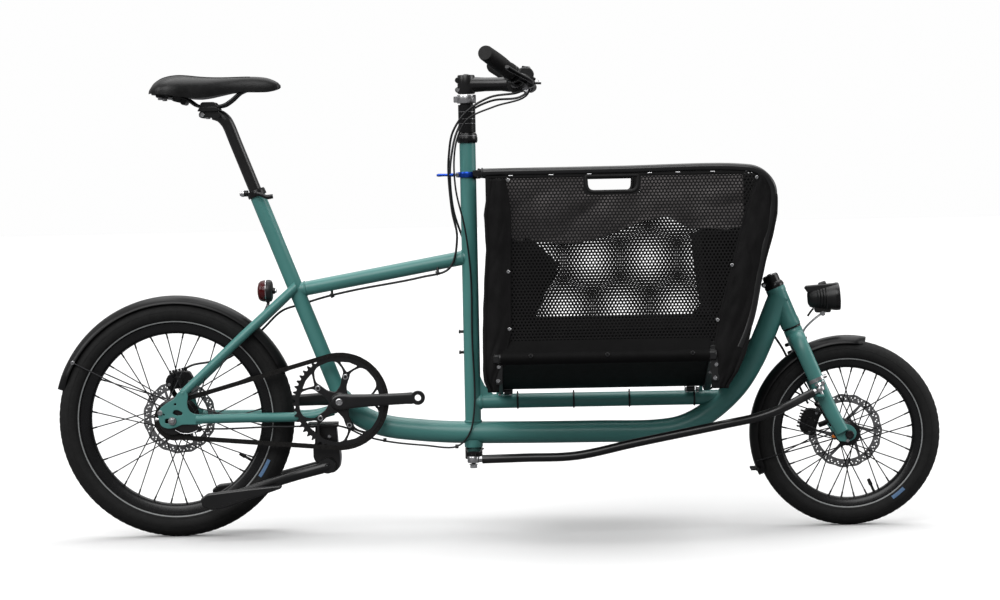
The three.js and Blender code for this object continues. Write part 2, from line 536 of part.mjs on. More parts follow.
// ---- hoses and cable ----------------------------------------------------------------------------
const hose = (name, points, radius) => part(name, tube(points.map((p) => at(...p)), radius, 38, 6), RUBBER);
hose("rear_brake_hose", [
  [786, -112, 962], [758, -60, 950], [700, -31, 943], [650, -32, 914], [618, -28, 870], [608, -20, 820],
  [606, -14, 777], [612, -16, 700], [622, -20, 640], [604, -18, 575], [540, -6, 556], [400, 0, 532],
  [330, 14, 517], [278, 23, 502], [233, 28, 488], [190, 31, 449], [150, 34, 412], [110, 36, 386],
  [70, 40, 378], [32, 43, 372], [10, 42, 362],
], 2.5);
hose("front_brake_hose", [
  [786, 112, 962], [758, 70, 944], [700, 30, 937], [650, 30, 912], [624, 27, 870], [612, 19, 820],
  [608, 14, 777], [614, 18, 700], [632, 28, 640], [646, 26, 600], [650, 24, 560], [652, 24, 400],
  [656, 24, 320], [680, 24, 288], [760, 24, 283], [1000, 24, 283], [1105, 26, 283], [1172, 33, 302],
  [1224, 36, 352], [1262, 36, 410], [1292, 36, 426], [1320, 38, 394], [1342, 36, 350], [1362, 36, 300],
  [1380, 40, 262],
], 2.5);
hose("gear_cable", [
  [793, -94, 973], [778, -78, 942], [710, -54, 922], [652, -46, 897], [630, -40, 862], [620, -34, 815],
  [622, -34, 745], [640, -34, 660], [650, -22, 560], [650, -21, 430], [652, -26, 270], [640, -28, 215],
  [612, -18, 187], [540, -8, 190], [460, -8, 200], [410, -16, 214], [376, -32, 232], [345, -37, 240],
  [300, -38, 239], [270, -41, 239], [240, -46, 239], [215, -51, 240], [120, -58, 238], [60, -62, 238], [30, -58, 232],
], 2);

export default bicycle;
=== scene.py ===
"""Cargo bicycle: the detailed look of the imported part. Metres, +X forward, +Z up, chain side on -Y.

Places along the bicycle are stations: millimetres ahead of the rear axle. P() turns them into the frame's metres.
"""
import math

import bmesh
import bpy
import numpy as np
from mathutils import Matrix, Vector, noise


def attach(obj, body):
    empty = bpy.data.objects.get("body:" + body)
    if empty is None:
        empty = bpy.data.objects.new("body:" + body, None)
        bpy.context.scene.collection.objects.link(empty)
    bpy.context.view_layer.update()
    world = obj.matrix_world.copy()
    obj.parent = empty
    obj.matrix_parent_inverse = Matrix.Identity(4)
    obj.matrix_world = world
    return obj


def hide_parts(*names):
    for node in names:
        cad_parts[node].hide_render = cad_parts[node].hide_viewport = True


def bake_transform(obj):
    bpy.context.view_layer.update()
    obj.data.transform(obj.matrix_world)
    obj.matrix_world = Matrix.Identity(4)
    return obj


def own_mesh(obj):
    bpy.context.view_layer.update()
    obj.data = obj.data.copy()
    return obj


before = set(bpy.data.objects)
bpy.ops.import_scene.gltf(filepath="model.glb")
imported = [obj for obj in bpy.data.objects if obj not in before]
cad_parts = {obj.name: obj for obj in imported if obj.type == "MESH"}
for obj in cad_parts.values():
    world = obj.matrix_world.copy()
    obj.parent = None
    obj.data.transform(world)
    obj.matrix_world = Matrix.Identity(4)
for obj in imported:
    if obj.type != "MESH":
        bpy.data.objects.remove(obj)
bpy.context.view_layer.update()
MID = 701.35  # station of the row's origin, in millimetres ahead of the rear axle


def P(x, y, z):
    """A station, side and height in millimetres as a place in the row frame."""
    return Vector(((x - MID) / 1000, y / 1000, z / 1000))


# ---- shapes: each is (corners, faces) -----------------------------------------------------------
def path(points, per=8):
    """A centripetal curve through the points."""
    pts = [Vector(p) for p in points]
    pts = [pts[0] * 2 - pts[1]] + pts + [pts[-1] * 2 - pts[-2]]
    out = []
    for a, b, c, d in zip(pts, pts[1:], pts[2:], pts[3:]):
        t1 = max((b - a).length, 1e-9) ** 0.5
        t2 = t1 + max((c - b).length, 1e-9) ** 0.5
        t3 = t2 + max((d - c).length, 1e-9) ** 0.5
        for i in range(per):
            t = t1 + (t2 - t1) * i / per
            p = a * ((t1 - t) / t1) + b * (t / t1)
            q = b * ((t2 - t) / (t2 - t1)) + c * ((t - t1) / (t2 - t1))
            r = c * ((t3 - t) / (t3 - t2)) + d * ((t - t2) / (t3 - t2))
            u = p * ((t2 - t) / t2) + q * (t / t2)
            v = q * ((t3 - t) / (t3 - t1)) + r * ((t - t1) / (t3 - t1))
            out.append(u * ((t2 - t) / (t2 - t1)) + v * ((t - t1) / (t2 - t1)))
    return out + [pts[-2]]


def sweep(line, radius, sides=20, flat=1.0, up=(0, 1, 0), cap=True):
    """A tube along a line. radius is one value or one per point; flat squeezes it across up."""
    n = len(line)
    radii = [radius] * n if isinstance(radius, (int, float)) else list(radius)
    if len(radii) != n:
        radii = list(np.interp(np.linspace(0, 1, n), np.linspace(0, 1, len(radii)), radii))
    side = Vector(up)
    verts, faces = [], []
    for i, p in enumerate(line):
        ahead = (line[min(i + 1, n - 1)] - line[max(i - 1, 0)]).normalized()
        side = (side - ahead * side.dot(ahead)).normalized()
        across = ahead.cross(side)
        for k in range(sides):
            a = 2 * math.pi * k / sides
            verts.append(p + (across * math.cos(a) + side * math.sin(a) * flat) * radii[i])
    for i in range(n - 1):
        for k in range(sides):
            m = (k + 1) % sides
            faces.append((i * sides + k, i * sides + m, (i + 1) * sides + m, (i + 1) * sides + k))
    if cap:
        faces.append(tuple(reversed(range(sides))))
        faces.append(tuple(range((n - 1) * sides, n * sides)))
    return verts, faces


def revolve(profile, base, axis, sides=32, start=None, sweep_angle=2 * math.pi):
    """Corners (radius, along) turned round axis. A profile that starts and ends on the axis closes itself."""
    axis = Vector(axis).normalized()
    u = Vector(start).normalized() if start else axis.orthogonal().normalized()
    w = axis.cross(u)
    base = Vector(base)
    whole = abs(sweep_angle - 2 * math.pi) < 1e-6
    turns = sides if whole else sides + 1
    verts, faces = [], []
    for i in range(turns):
        a = sweep_angle * i / sides
        d = u * math.cos(a) + w * math.sin(a)
        for r, h in profile:
            verts.append(base + d * max(r, 1e-5) + axis * h)
    m = len(profile)
    for i in range(sides):
        j = (i + 1) % turns if whole else i + 1
        for k in range(m - 1):
            faces.append((i * m + k, j * m + k, j * m + k + 1, i * m + k + 1))
    return verts, faces


def rod(a, b, radius, sides=16, end=None, bevel=0.0):
    """A round bar between two points, with softened ends."""
    a, b = Vector(a), Vector(b)
    h = (b - a).length
    e = radius if end is None else end
    v = min(bevel, radius * 0.5, h * 0.3)
    profile = [(0, 0), (radius - v, 0), (radius, v), (e, h - v), (e - v, h), (0, h)]
    return revolve(profile, a, b - a, sides)


def slab(outlines, low, high, bevel=0.0, to=None, steps=2):
    """Flat outlines, the first outside and the rest holes, in (x, z) millimetres, thick along Y."""
    curve = bpy.data.curves.new("outline", "CURVE")
    curve.dimensions = "2D"
    curve.fill_mode = "BOTH"
    curve.extrude = max((high - low) / 2 - bevel, 1e-4)
    curve.bevel_depth = bevel
    curve.bevel_resolution = steps
    curve.offset = -bevel
    for points in outlines:
        spline = curve.splines.new("POLY")
        spline.points.add(len(points) - 1)
        spline.use_cyclic_u = True
        for q, (x, z) in zip(spline.points, points):
            q.co = (x, z, 0, 1)
    holder = bpy.data.objects.new("outline", curve)
    mesh = bpy.data.meshes.new_from_object(holder)
    bpy.data.objects.remove(holder)
    bpy.data.curves.remove(curve)
    mid = (low + high) / 2
    if to is None:
        verts = [P(v.co.x, mid - v.co.z, v.co.y) for v in mesh.vertices]
    else:
        verts = [to @ Vector((v.co.x, mid - v.co.z, v.co.y)) for v in mesh.vertices]
    faces = [tuple(p.vertices) for p in mesh.polygons]
    bpy.data.meshes.remove(mesh)
    return verts, faces


def rounded(corners, radius, steps=5):
    """A closed outline with rounded corners."""
    out = []
    n = len(corners)
    for i, c in enumerate(corners):
        c = Vector(c)
        a = Vector(corners[i - 1]) - c
        b = Vector(corners[(i + 1) % n]) - c
        r = radius[i] if isinstance(radius, (list, tuple)) else radius
        cut = min(r, a.length * 0.48, b.length * 0.48)
        p, q = c + a.normalized() * cut, c + b.normalized() * cut
        for k in range(steps + 1):
            t = k / steps
            out.append(tuple(p * (1 - t) ** 2 + c * 2 * t * (1 - t) + q * t * t))
    return out


def circle(cx, cz, r, n=24, start=0.0):
    return [(cx + r * math.cos(start + 2 * math.pi * i / n), cz + r * math.sin(start + 2 * math.pi * i / n))
            for i in range(n)]


def arc(cx, cz, r, a0, a1, n):
    """Corners along an arc, angles in degrees."""
    return [(cx + r * math.cos(math.radians(a0 + (a1 - a0) * i / n)),
             cz + r * math.sin(math.radians(a0 + (a1 - a0) * i / n))) for i in range(n + 1)]


def box(low, high, turn=None, about=None):
    """A block between two corners in millimetres, optionally turned about a point."""
    v = [P(x, y, z) for x in (low[0], high[0]) for y in (low[1], high[1]) for z in (low[2], high[2])]
    if turn is not None:
        c = Vector(about)
        v = [c + turn @ (p - c) for p in v]
    f = [(0, 1, 3, 2), (4, 6, 7, 5), (0, 4, 5, 1), (2, 3, 7, 6), (0, 2, 6, 4), (1, 5, 7, 3)]
    return v, f


def bolt(at, out, radius=0.0035, height=0.003, hexed=True):
    """A cap screw: a rounded head with a hexagon recess, standing out along out."""
    r, h = radius, height
    head = revolve([(0.62 * r, h * 0.45), (0.66 * r, h), (r * 0.85, h), (r, h * 0.75), (r, 0), (0, 0)], at, out, 24)
    inner = revolve([(0, h * 0.42), (0.64 * r, h * 0.42), (0.66 * r, h)], at, out, 6 if hexed else 16)
    return merged([head, inner])


def ring_bead(line_at, axis, radius, bead, sides=40):
    """A small round bead round a tube, as at a weld or a lip."""
    profile = [(radius + bead * math.cos(a), bead * math.sin(a)) for a in np.linspace(-2.2, 2.2, 8)]
    return revolve(profile, line_at, axis, sides)


def merged(shapes):
    """Several shapes as one."""
    verts, faces = [], []
    for v, f in shapes:
        n = len(verts)
        verts.extend(v)
        faces.extend(tuple(i + n for i in face) for face in f)
    return verts, faces


def coped(shape, sides, ring, point, axis, radius, along):
    """Cut a tube's end ring to fit round another tube, so that the other tube's bore stays free."""
    verts, faces = shape
    first = ring * sides if ring >= 0 else len(verts) + ring * sides
    axis, along = Vector(axis).normalized(), Vector(along).normalized()
    a = along - axis * along.dot(axis)
    for i in range(first, first + sides):
        b = verts[i] - Vector(point)
        b = b - axis * b.dot(axis)
        half = a.dot(b)
        rest = half * half - a.dot(a) * (b.dot(b) - radius * radius)
        verts[i] = verts[i] + along * ((-half + math.sqrt(max(rest, 0.0))) / a.dot(a))
    return verts, faces


def piece(name, shapes, material, body, replaces=(), angle=38, bevel=0.0, recalc=True):
    """One object from shapes, riding on a body."""
    verts, faces = merged(shapes if isinstance(shapes, list) else [shapes])
    mesh = bpy.data.meshes.new(name)
    mesh.from_pydata([tuple(v) for v in verts], [], faces)
    mesh.validate()
    if recalc:
        bm = bmesh.new()
        bm.from_mesh(mesh)
        bmesh.ops.recalc_face_normals(bm, faces=bm.faces)
        bm.to_mesh(mesh)
        bm.free()
    mesh.shade_smooth()
    mesh.set_sharp_from_angle(angle=math.radians(angle))
    mesh.materials.append(material)
    obj = bpy.data.objects.new(name, mesh)
    bpy.context.scene.collection.objects.link(obj)
    if bevel:
        mod = obj.modifiers.new("edges", "BEVEL")
        mod.width = bevel
        mod.segments = 2
        mod.limit_method = "ANGLE"
        mod.angle_limit = math.radians(40)
        mod.harden_normals = True
    if body:
        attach(obj, body)
    if replaces:
        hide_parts(*([replaces] if isinstance(replaces, str) else replaces))
    return obj


# ---- materials ----------------------------------------------------------------------------------
class Nodes:
    """A material's node tree, with short calls to add and join nodes."""

    def __init__(self, name):
        self.material = bpy.data.materials.new(name)
        self.material.use_nodes = True
        self.tree = self.material.node_tree
        self.shader = self.tree.nodes["Principled BSDF"]
        coords = self.tree.nodes.new("ShaderNodeTexCoord")
        self.place = coords.outputs["Object"]
        self.normal = None

    def add(self, kind, **inputs):
        node = self.tree.nodes.new("ShaderNode" + kind)
        for key, value in inputs.items():
            key = key.replace("_", " ")
            if hasattr(value, "is_linked"):
                self.tree.links.new(value, node.inputs[key])
            else:
                node.inputs[key].default_value = value
        return node

    def link(self, output, socket):
        self.tree.links.new(output, self.shader.inputs[socket])

    def stretched(self, scale):
        node = self.add("Mapping", Vector=self.place)
        node.inputs["Scale"].default_value = scale
        return node.outputs["Vector"]

    def noise(self, scale, detail=4.0, roughness=0.55, vector=None):
        return self.add("TexNoise", Vector=vector or self.place, Scale=scale, Detail=detail,
                        Roughness=roughness).outputs["Fac"]

    def ramp(self, source, stops):
        node = self.add("ValToRGB", Fac=source)
        elements = node.color_ramp.elements
        while len(elements) < len(stops):
            elements.new(0.5)
        for element, (where, colour) in zip(elements, stops):
            element.position = where
            element.color = (*colour, 1) if hasattr(colour, "__len__") else (colour, colour, colour, 1)
        return node.outputs["Color"]

    def span(self, source, low, high):
        return self.add("MapRange", Value=source, To_Min=low, To_Max=high).outputs["Result"]

    def bump(self, height, strength, distance):
        inputs = {"Height": height, "Strength": strength, "Distance": distance}
        if self.normal:
            inputs["Normal"] = self.normal
        self.normal = self.add("Bump", **inputs).outputs["Normal"]
        self.link(self.normal, "Normal")

    def set(self, **values):
        for key, value in values.items():
            self.shader.inputs[key.replace("_", " ")].default_value = value


def shade(colour, factor):
    """A colour made darker or lighter."""
    return tuple(min(c * factor, 1) for c in colour)


def surface(name, colour, rough, metal=0.0, spread=0.12, mottle=60.0, grain=None, polish=0.07, **extra):
    """A finish with uneven colour and gloss. grain is (scale per metre, strength, depth in metres)."""
    n = Nodes(name)
    cloud = n.noise(mottle, 5.0)
    stops = [(0.3, shade(colour, 1 - spread)), (0.7, shade(colour, 1 + spread))]
    tint = n.ramp(cloud, stops)
    n.link(tint, "Base Color")
    n.link(n.span(n.noise(mottle * 2.3, 6.0, 0.65), rough - polish, rough + polish), "Roughness")
    n.set(Metallic=metal)
    if grain:
        n.bump(n.noise(grain[0], 3.0), grain[1], grain[2])
    n.set(**extra)
    return n.material


PAINT = surface("frame_paint", (0.074, 0.262, 0.240), 0.38, spread=0.06, mottle=9.0, grain=(1400.0, 0.10, 0.0002),
                Coat_Weight=0.25, Coat_Roughness=0.28)
SATIN = surface("satin_black", (0.0070, 0.0070, 0.0074), 0.30, spread=0.25, mottle=30.0, grain=(1800.0, 0.10, 0.0002),
                Coat_Weight=0.15, Coat_Roughness=0.3)
ANODISED = surface("anodised_black", (0.0085, 0.0085, 0.0092), 0.27, metal=0.25, spread=0.2, mottle=45.0,
                   grain=(2600.0, 0.08, 0.0001))
FENDER = surface("fender_black", (0.0055, 0.0055, 0.0058), 0.34, spread=0.2, mottle=25.0, grain=(900.0, 0.06, 0.0002),
                 Coat_Weight=0.06, Coat_Roughness=0.25, Specular_IOR_Level=0.28)
PLASTIC = surface("moulded_plastic", (0.0080, 0.0080, 0.0085), 0.40, spread=0.2, mottle=70.0,
                  grain=(2200.0, 0.25, 0.0002))
RUBBER = surface("soft_rubber", (0.0062, 0.0060, 0.0060), 0.60, spread=0.3, mottle=80.0, grain=(1500.0, 0.3, 0.0002),
                 Specular_IOR_Level=0.36)
HOSE = surface("hose_sleeve", (0.011, 0.011, 0.012), 0.42, spread=0.2, mottle=50.0, grain=(2500.0, 0.12, 0.0001))
CHROME = surface("polished_steel", (0.70, 0.70, 0.71), 0.22, metal=1.0, spread=0.08, mottle=120.0,
                 grain=(2400.0, 0.05, 0.0001))
BLUE = surface("blue_anodised", (0.012, 0.075, 0.50), 0.28, metal=0.75, spread=0.12, mottle=60.0,
               grain=(2600.0, 0.08, 0.0001))
CHAINSTEEL = surface("chain_black", (0.020, 0.019, 0.018), 0.36, metal=0.6, spread=0.4, mottle=160.0,
                     grain=(1800.0, 0.12, 0.0001))
STRIPE = surface("reflective_stripe", (0.30, 0.31, 0.31), 0.35, spread=0.15, mottle=220.0,
                 grain=(3000.0, 0.3, 0.0001))
ORANGE = surface("orange_mark", (0.75, 0.20, 0.02), 0.4, spread=0.1, mottle=200.0)
BLUEMARK = surface("tyre_label", (0.08, 0.17, 0.32), 0.5, spread=0.2, mottle=300.0)
SPOKE = surface("spoke_black", (0.022, 0.022, 0.024), 0.30, metal=0.7, spread=0.15, mottle=90.0)


def brushed(name, colour, rough, stretch):
    """Bare metal with streaks."""
    n = Nodes(name)
    streak = n.noise(1.0, 6.0, 0.7, n.stretched(stretch))
    n.link(n.ramp(streak, [(0.3, shade(colour, 0.8)), (0.7, shade(colour, 1.1))]), "Base Color")
    n.link(n.span(streak, rough - 0.08, rough + 0.1), "Roughness")
    n.set(Metallic=1.0)
    n.bump(streak, 0.12, 0.0001)
    return n.material


STEEL = brushed("brushed_steel", (0.60, 0.60, 0.61), 0.30, (400, 400, 2500))
ROTOR = brushed("rotor_steel", (0.34, 0.34, 0.345), 0.34, (900, 60, 900))


def tyre_rubber():
    n = Nodes("tyre_rubber")
    n.link(n.ramp(n.noise(70.0, 7.0, 0.7), [(0.3, (0.0060, 0.0060, 0.0060)), (0.7, (0.0125, 0.0125, 0.0125))]),
           "Base Color")
    n.link(n.span(n.noise(320.0, 5.0), 0.62, 0.86), "Roughness")
    n.bump(n.noise(900.0, 4.0), 0.35, 0.0004)
    n.bump(n.noise(120.0, 2.0), 0.15, 0.0008)
    n.set(Specular_IOR_Level=0.3)
    return n.material


TYRE = tyre_rubber()


def woven(name, dark, light):
    """Coated basket cloth: crossing threads, soft creases and a faint sheen."""
    n = Nodes(name)
    cloud = n.noise(14.0, 6.0, 0.6)
    n.link(n.ramp(cloud, [(0.25, dark), (0.75, light)]), "Base Color")
    waves = []
    for direction in ("X", "Z"):
        node = n.add("TexWave", Vector=n.place, Scale=260.0, Distortion=0.6, Detail=1.0)
        node.bands_direction = direction
        waves.append(node.outputs["Fac"])
    weave = n.add("Math")
    weave.operation = "MAXIMUM"
    for i, w in enumerate(waves):
        n.tree.links.new(w, weave.inputs[i])
    n.link(n.span(n.noise(40.0, 5.0), 0.58, 0.78), "Roughness")
    n.bump(weave.outputs[0], 0.35, 0.0004)
    n.bump(n.noise(28.0, 3.0), 0.25, 0.004)
    n.set(Sheen_Weight=0.01, Sheen_Roughness=0.4, Specular_IOR_Level=0.17)
    return n.material


CLOTH = woven("basket_cloth", (0.0030, 0.0028, 0.0030), (0.0075, 0.0070, 0.0074))
# the basket's black cloth made many times lighter: painted light for the cloth inside the far panel, lit from above
CLOTH_PAINTED_LIT = woven("basket_cloth_painted_lit", (0.060, 0.055, 0.055), (0.20, 0.185, 0.185))


def saddle_cover():
    n = Nodes("saddle_cover")
    n.link(n.ramp(n.noise(45.0, 5.0), [(0.3, (0.0045, 0.0045, 0.0047)), (0.7, (0.0085, 0.0085, 0.0088))]),
           "Base Color")
    cells = n.add("TexVoronoi", Vector=n.place, Scale=1100.0)
    n.link(n.span(n.noise(90.0, 4.0), 0.27, 0.42), "Roughness")
    n.bump(cells.outputs["Distance"], 0.25, 0.0003)
    n.bump(n.noise(160.0, 3.0), 0.12, 0.0006)
    n.set(Coat_Weight=0.03, Coat_Roughness=0.4, Specular_IOR_Level=0.30)
    return n.material


SADDLE = saddle_cover()


def lens(name, colour, rough, transmission):
    """Moulded plastic that lets light through, with small facets."""
    n = Nodes(name)
    facet = n.add("TexVoronoi", Vector=n.place, Scale=260.0)
    n.link(n.ramp(facet.outputs["Distance"], [(0.1, shade(colour, 0.75)), (0.6, shade(colour, 1.2))]), "Base Color")
    n.link(n.span(n.noise(200.0), rough, rough + 0.08), "Roughness")
    n.bump(facet.outputs["Distance"], 0.4, 0.0008)
    n.set(Transmission_Weight=transmission, IOR=1.5)
    return n.material


RED = lens("red_lens", (0.085, 0.005, 0.006), 0.08, 0.15)
CLEAR = lens("clear_lens", (0.80, 0.82, 0.84), 0.05, 0.6)


# ---- frame --------------------------------------------------------------------------------------
Y = Vector((0, 1, 0))
X = Vector((1, 0, 0))
Z = Vector((0, 0, 1))
HEAD = Vector((-math.cos(math.radians(68)), 0, math.sin(math.radians(68))))
HEAD_BASE = P(1344, 0, 432)
SEAT_UP = Vector((-0.361, 0, 0.9326)).normalized()
CRANK_X, CRANK_Z = 362, 292
BB = P(CRANK_X, 0, CRANK_Z)
COLUMN_X = 648
COLUMN_FOOT = P(COLUMN_X, 0, 0)
FRONT_BALL = P(1395, -88, 302)  # the steering rod's joint on the fork
REAR_LAMP = P(216, 0, 533)
REAR_AXLE = P(0, 0, 258)
FRONT_AXLE = P(1459.7, 0, 201)
FORE = HEAD.cross(Y).normalized()  # ahead, square to the steering axis
if FORE.x < 0:
    FORE = -FORE


def seat_at(t, y=0.0):
    """A place up the seat tube, in millimetres from the crank's axis."""
    return BB + SEAT_UP * (t / 1000) + Y * (y / 1000)


def head_at(t, forward=0.0, y=0.0):
    """A place in the fork's own directions: up the steering axis, ahead of it, to the left."""
    return HEAD_BASE + HEAD * (t / 1000) + FORE * (forward / 1000) + Y * (y / 1000)


def line(*points, per=8):
    """A curve through places given in millimetres."""
    return path([P(*p) for p in points], per)


def round_wheel(axle, radius, degrees, y=0.0):
    """A place round an axle, in metres, with the angle counted from ahead."""
    a = math.radians(degrees)
    return axle + X * (radius * math.cos(a)) + Z * (radius * math.sin(a)) + Y * y


MAIN = line((366, 0, 286), (410, 0, 252), (455, 0, 234), (530, 0, 223), (610, 0, 217), (760, 0, 214), (920, 0, 213),
            (1050, 0, 213), (1105, 0, 222), (1160, 0, 250), (1220, 0, 303), (1258, 0, 360), (1285, 0, 418),
            (1308, 0, 474), (1319, 0, 500))
head_shell = revolve([(0.0165, 0.0014), (0.0205, 0.0014), (0.0214, 0.0034), (0.0214, 0.016), (0.0204, 0.020),
                      (0.0204, 0.080), (0.0214, 0.083), (0.0214, 0.0915), (0.0205, 0.093), (0.0165, 0.093)],
                     HEAD_BASE, HEAD, 48)
piece("main_tube_body", [sweep(MAIN, 0.024, 40), head_shell], PAINT, "frame", "main_tube", angle=50)

column = revolve([(0.0155, 0.184), (0.0172, 0.184), (0.0175, 0.186), (0.0175, 0.842), (0.0172, 0.846),
                  (0.0155, 0.846)], COLUMN_FOOT, Z, 48)
foot = revolve([(0.0155, 0.1838), (0.0195, 0.1838), (0.0200, 0.186), (0.0200, 0.200)], COLUMN_FOOT, Z, 48)
cargo = sweep([P(650, 0, 283), P(900, 0, 283), P(1194, 0, 283)], 0.0158, 36)
gusset = slab([[(655, 342), (655, 280), (704, 280), (694, 297), (674, 318), (664, 340)]], -4, 4, 1.2)
tabs = [slab([rounded([(x0, 286), (x1, 286), (x1, 319), (x0, 319)], 3)], -8, 8, 1.0)
        for x0, x1 in ((700, 713), (1135, 1148))]
welds = [ring_bead(P(COLUMN_X, 0, 240.5), Z, 0.0176, 0.0020), ring_bead(P(667, 0, 283), X, 0.0156, 0.0022)]
piece("column_tube_body", [column, foot, cargo, gusset, *tabs, *welds], PAINT, "frame", "column_tube")

seat_tube = revolve([(0.0139, 0.0), (0.017, 0.0), (0.017, 0.476), (0.0167, 0.480), (0.0139, 0.480)],
                    BB, SEAT_UP, 44)
shell = revolve([(0.012, -0.034), (0.0205, -0.034), (0.021, -0.033), (0.021, 0.033), (0.0205, 0.034),
                 (0.012, 0.034)], BB, Y, 44)
cups = [rod(BB + Y * s * 0.034, BB + Y * s * 0.041, 0.0195, 36, bevel=0.001) for s in (1, -1)]
piece("seat_tube_body", [seat_tube, shell], PAINT, "frame", "seat_tube")
piece("crank_bearing_cups", cups, ANODISED, "frame")
top = line((272, 0, 533.5), (450, 0, 564.5), (641, 0, 598))
top_tube = coped(sweep(top, 0.0155, 36, cap=False), 36, 0, BB, SEAT_UP, 0.0156, top[1] - top[0])
top_tube = coped(top_tube, 36, -1, COLUMN_FOOT, Z, 0.0166, top[-2] - top[-1])
piece("top_tube_body", [top_tube, ring_bead(P(633, 0, 596.5), P(640, 0, 598) - P(450, 0, 564.5), 0.0154, 0.002),
                        ring_bead(P(288, 0, 536.5), P(640, 0, 598) - P(450, 0, 564.5), 0.0154, 0.002)],
      PAINT, "frame", "top_tube")

stays = []
for s in (1, -1):
    run = line((268, s * 15, 541), (150, s * 43, 434), (22, s * 66, 316), per=10)
    stay = sweep(run, [0.0098, 0.0098, 0.0098, 0.0092, 0.0085], 28, cap=False)
    stays.append(coped(stay, 28, 0, BB, SEAT_UP, 0.0156, run[1] - run[0]))
stays.append(rod(P(184, -40, 470), P(184, 40, 470), 0.006, 20))
piece("seat_stays_body", stays, PAINT, "frame", "seat_stays")
DROPOUT = [(-31, 268), (-28, 284), (-12, 297), (6, 306), (15, 322), (30, 326), (36, 312), (32, 296), (36, 279),
           (48, 271.5), (68, 271), (68, 250), (44, 249.5), (20, 250), (6, 243), (-10, 241), (-25, 247)]
for name, s in (("left", 1), ("right", -1)):
    low, high = sorted((s * 67.6, s * 73.4))
    slot_hole = rounded([(-16, 253), (9, 252), (9, 264), (-16, 263)], 4.5)
    window = rounded([(1, 274), (9, 269.5), (21, 270), (23, 276), (12, 282), (4, 281)], 2.5)
    plate_ = slab([rounded(DROPOUT, 7, 3), slot_hole, window, circle(-18, 272, 2.0, 14), circle(7, 294, 2.6, 14)],
                  low, high, 1.0)
    tube_ = sweep(line((50, s * 69, 260.5), (180, s * 48, 260), (245, s * 38, 259), (300, s * 32, 260),
                       (346, s * 28, 271), per=8), [0.0098, 0.0104, 0.0104, 0.0104, 0.0105], 28)
    piece(f"chain_stay_{name}_body", [plate_, tube_], PAINT, "frame", f"chain_stay_{name}")

# seat collar, its screw and its lever
collar = revolve([(0.0140, 0.4803), (0.0202, 0.4803), (0.0206, 0.4815), (0.0206, 0.4905), (0.0196, 0.494),
                  (0.0140, 0.494)], BB, SEAT_UP, 40)
piece("seat_collar_body", [collar, rod(seat_at(487) - X * 0.030, seat_at(487) - X * 0.018, 0.0068, 20, bevel=0.001)],
      ANODISED, "frame", "seat_collar")
piece("seat_collar_nut", [bolt(seat_at(487) - X * 0.0335, -X, 0.0055, 0.003),
                          rod(seat_at(487) - X * 0.026, seat_at(487) - X * 0.0338, 0.0074, 22, bevel=0.0014)], CHROME,
      "frame")
handle = [seat_at(487, -27), seat_at(484, -27.6) + X * 0.010, seat_at(478, -27.5) + X * 0.022,
          seat_at(475, -27) + X * 0.034 + Z * 0.004]
piece("seat_collar_handle", [sweep(path(handle, 8), [0.0042, 0.0040, 0.0042, 0.0052, 0.0048], 20, flat=0.7),
                             rod(seat_at(487, -22.3), seat_at(487, -30), 0.0034, 20, bevel=0.0006)],
      ANODISED, "seat_collar_lever", "seat_collar_lever", angle=60)

# headset collar on the column and bearing cups at the head tube
cup = revolve([(0.0156, 0.8462), (0.0206, 0.8462), (0.0222, 0.850), (0.0222, 0.858), (0.0212, 0.860), (0.0212, 0.863),
               (0.0192, 0.8672), (0.0156, 0.8672)], COLUMN_FOOT, Z, 44)
piece("column_headset", [cup], ANODISED, "frame")
piece("column_headset_seam", [revolve([(0.0195, 0.8606), (0.0216, 0.8606), (0.0216, 0.8622), (0.0195, 0.8622)],
                                      COLUMN_FOOT, Z, 44)], STEEL, "frame")
low_cup = revolve([(0.0165, -0.0022), (0.0202, -0.0022), (0.0206, -0.0004), (0.0202, 0.0012), (0.0165, 0.0012)],
                  HEAD_BASE, HEAD, 40)
high_cup = revolve([(0.0150, 0.0933), (0.0212, 0.0933), (0.0218, 0.097), (0.0206, 0.102), (0.0172, 0.106),
                    (0.0150, 0.106)], HEAD_BASE, HEAD, 40)
piece("head_cups", [low_cup, high_cup], ANODISED, "frame")

# threaded bosses on the column and cable clips
bosses = [rod(P(631.5, 0, z), P(624, 0, z), 0.0032, 16, bevel=0.0005) for z in (436, 391)]
bosses += [bolt(P(624, 0, z), -X, 0.0042, 0.0035) for z in (436, 391)]
piece("column_bosses", bosses, ANODISED, "frame")
bands = [ring_bead(P(x, 0, 283), X, 0.0160, 0.0021, 30) for x in (746, 868, 989, 1130)]
bands += [rod(P(x, -3, 298), P(x, -3, 304), 0.0016, 10) for x in (746, 868, 989, 1130)]
clips = []
for x, y, z in ((612, -18, 187), (455, -10, 203), (352, -34, 240), (300, -38, 239)):
    clips.append(revolve([(0.0018, -0.0035), (0.0044, -0.0035), (0.0044, 0.0035), (0.0018, 0.0035)],
                         P(x, y, z), X, 18))
for x, y, z in ((578, -12, 565), (345, 11, 520), (168, 33, 429)):
    clips.append(revolve([(0.0022, -0.004), (0.0050, -0.004), (0.0050, 0.004), (0.0022, 0.004)], P(x, y, z),
                         Vector((1, 0, 0.4)), 18))
    clips.append(rod(P(x, y, z + 3), P(x, y * 0.8, z + 12), 0.0028, 12))
piece("cable_bands", bands + clips, PLASTIC, "frame")

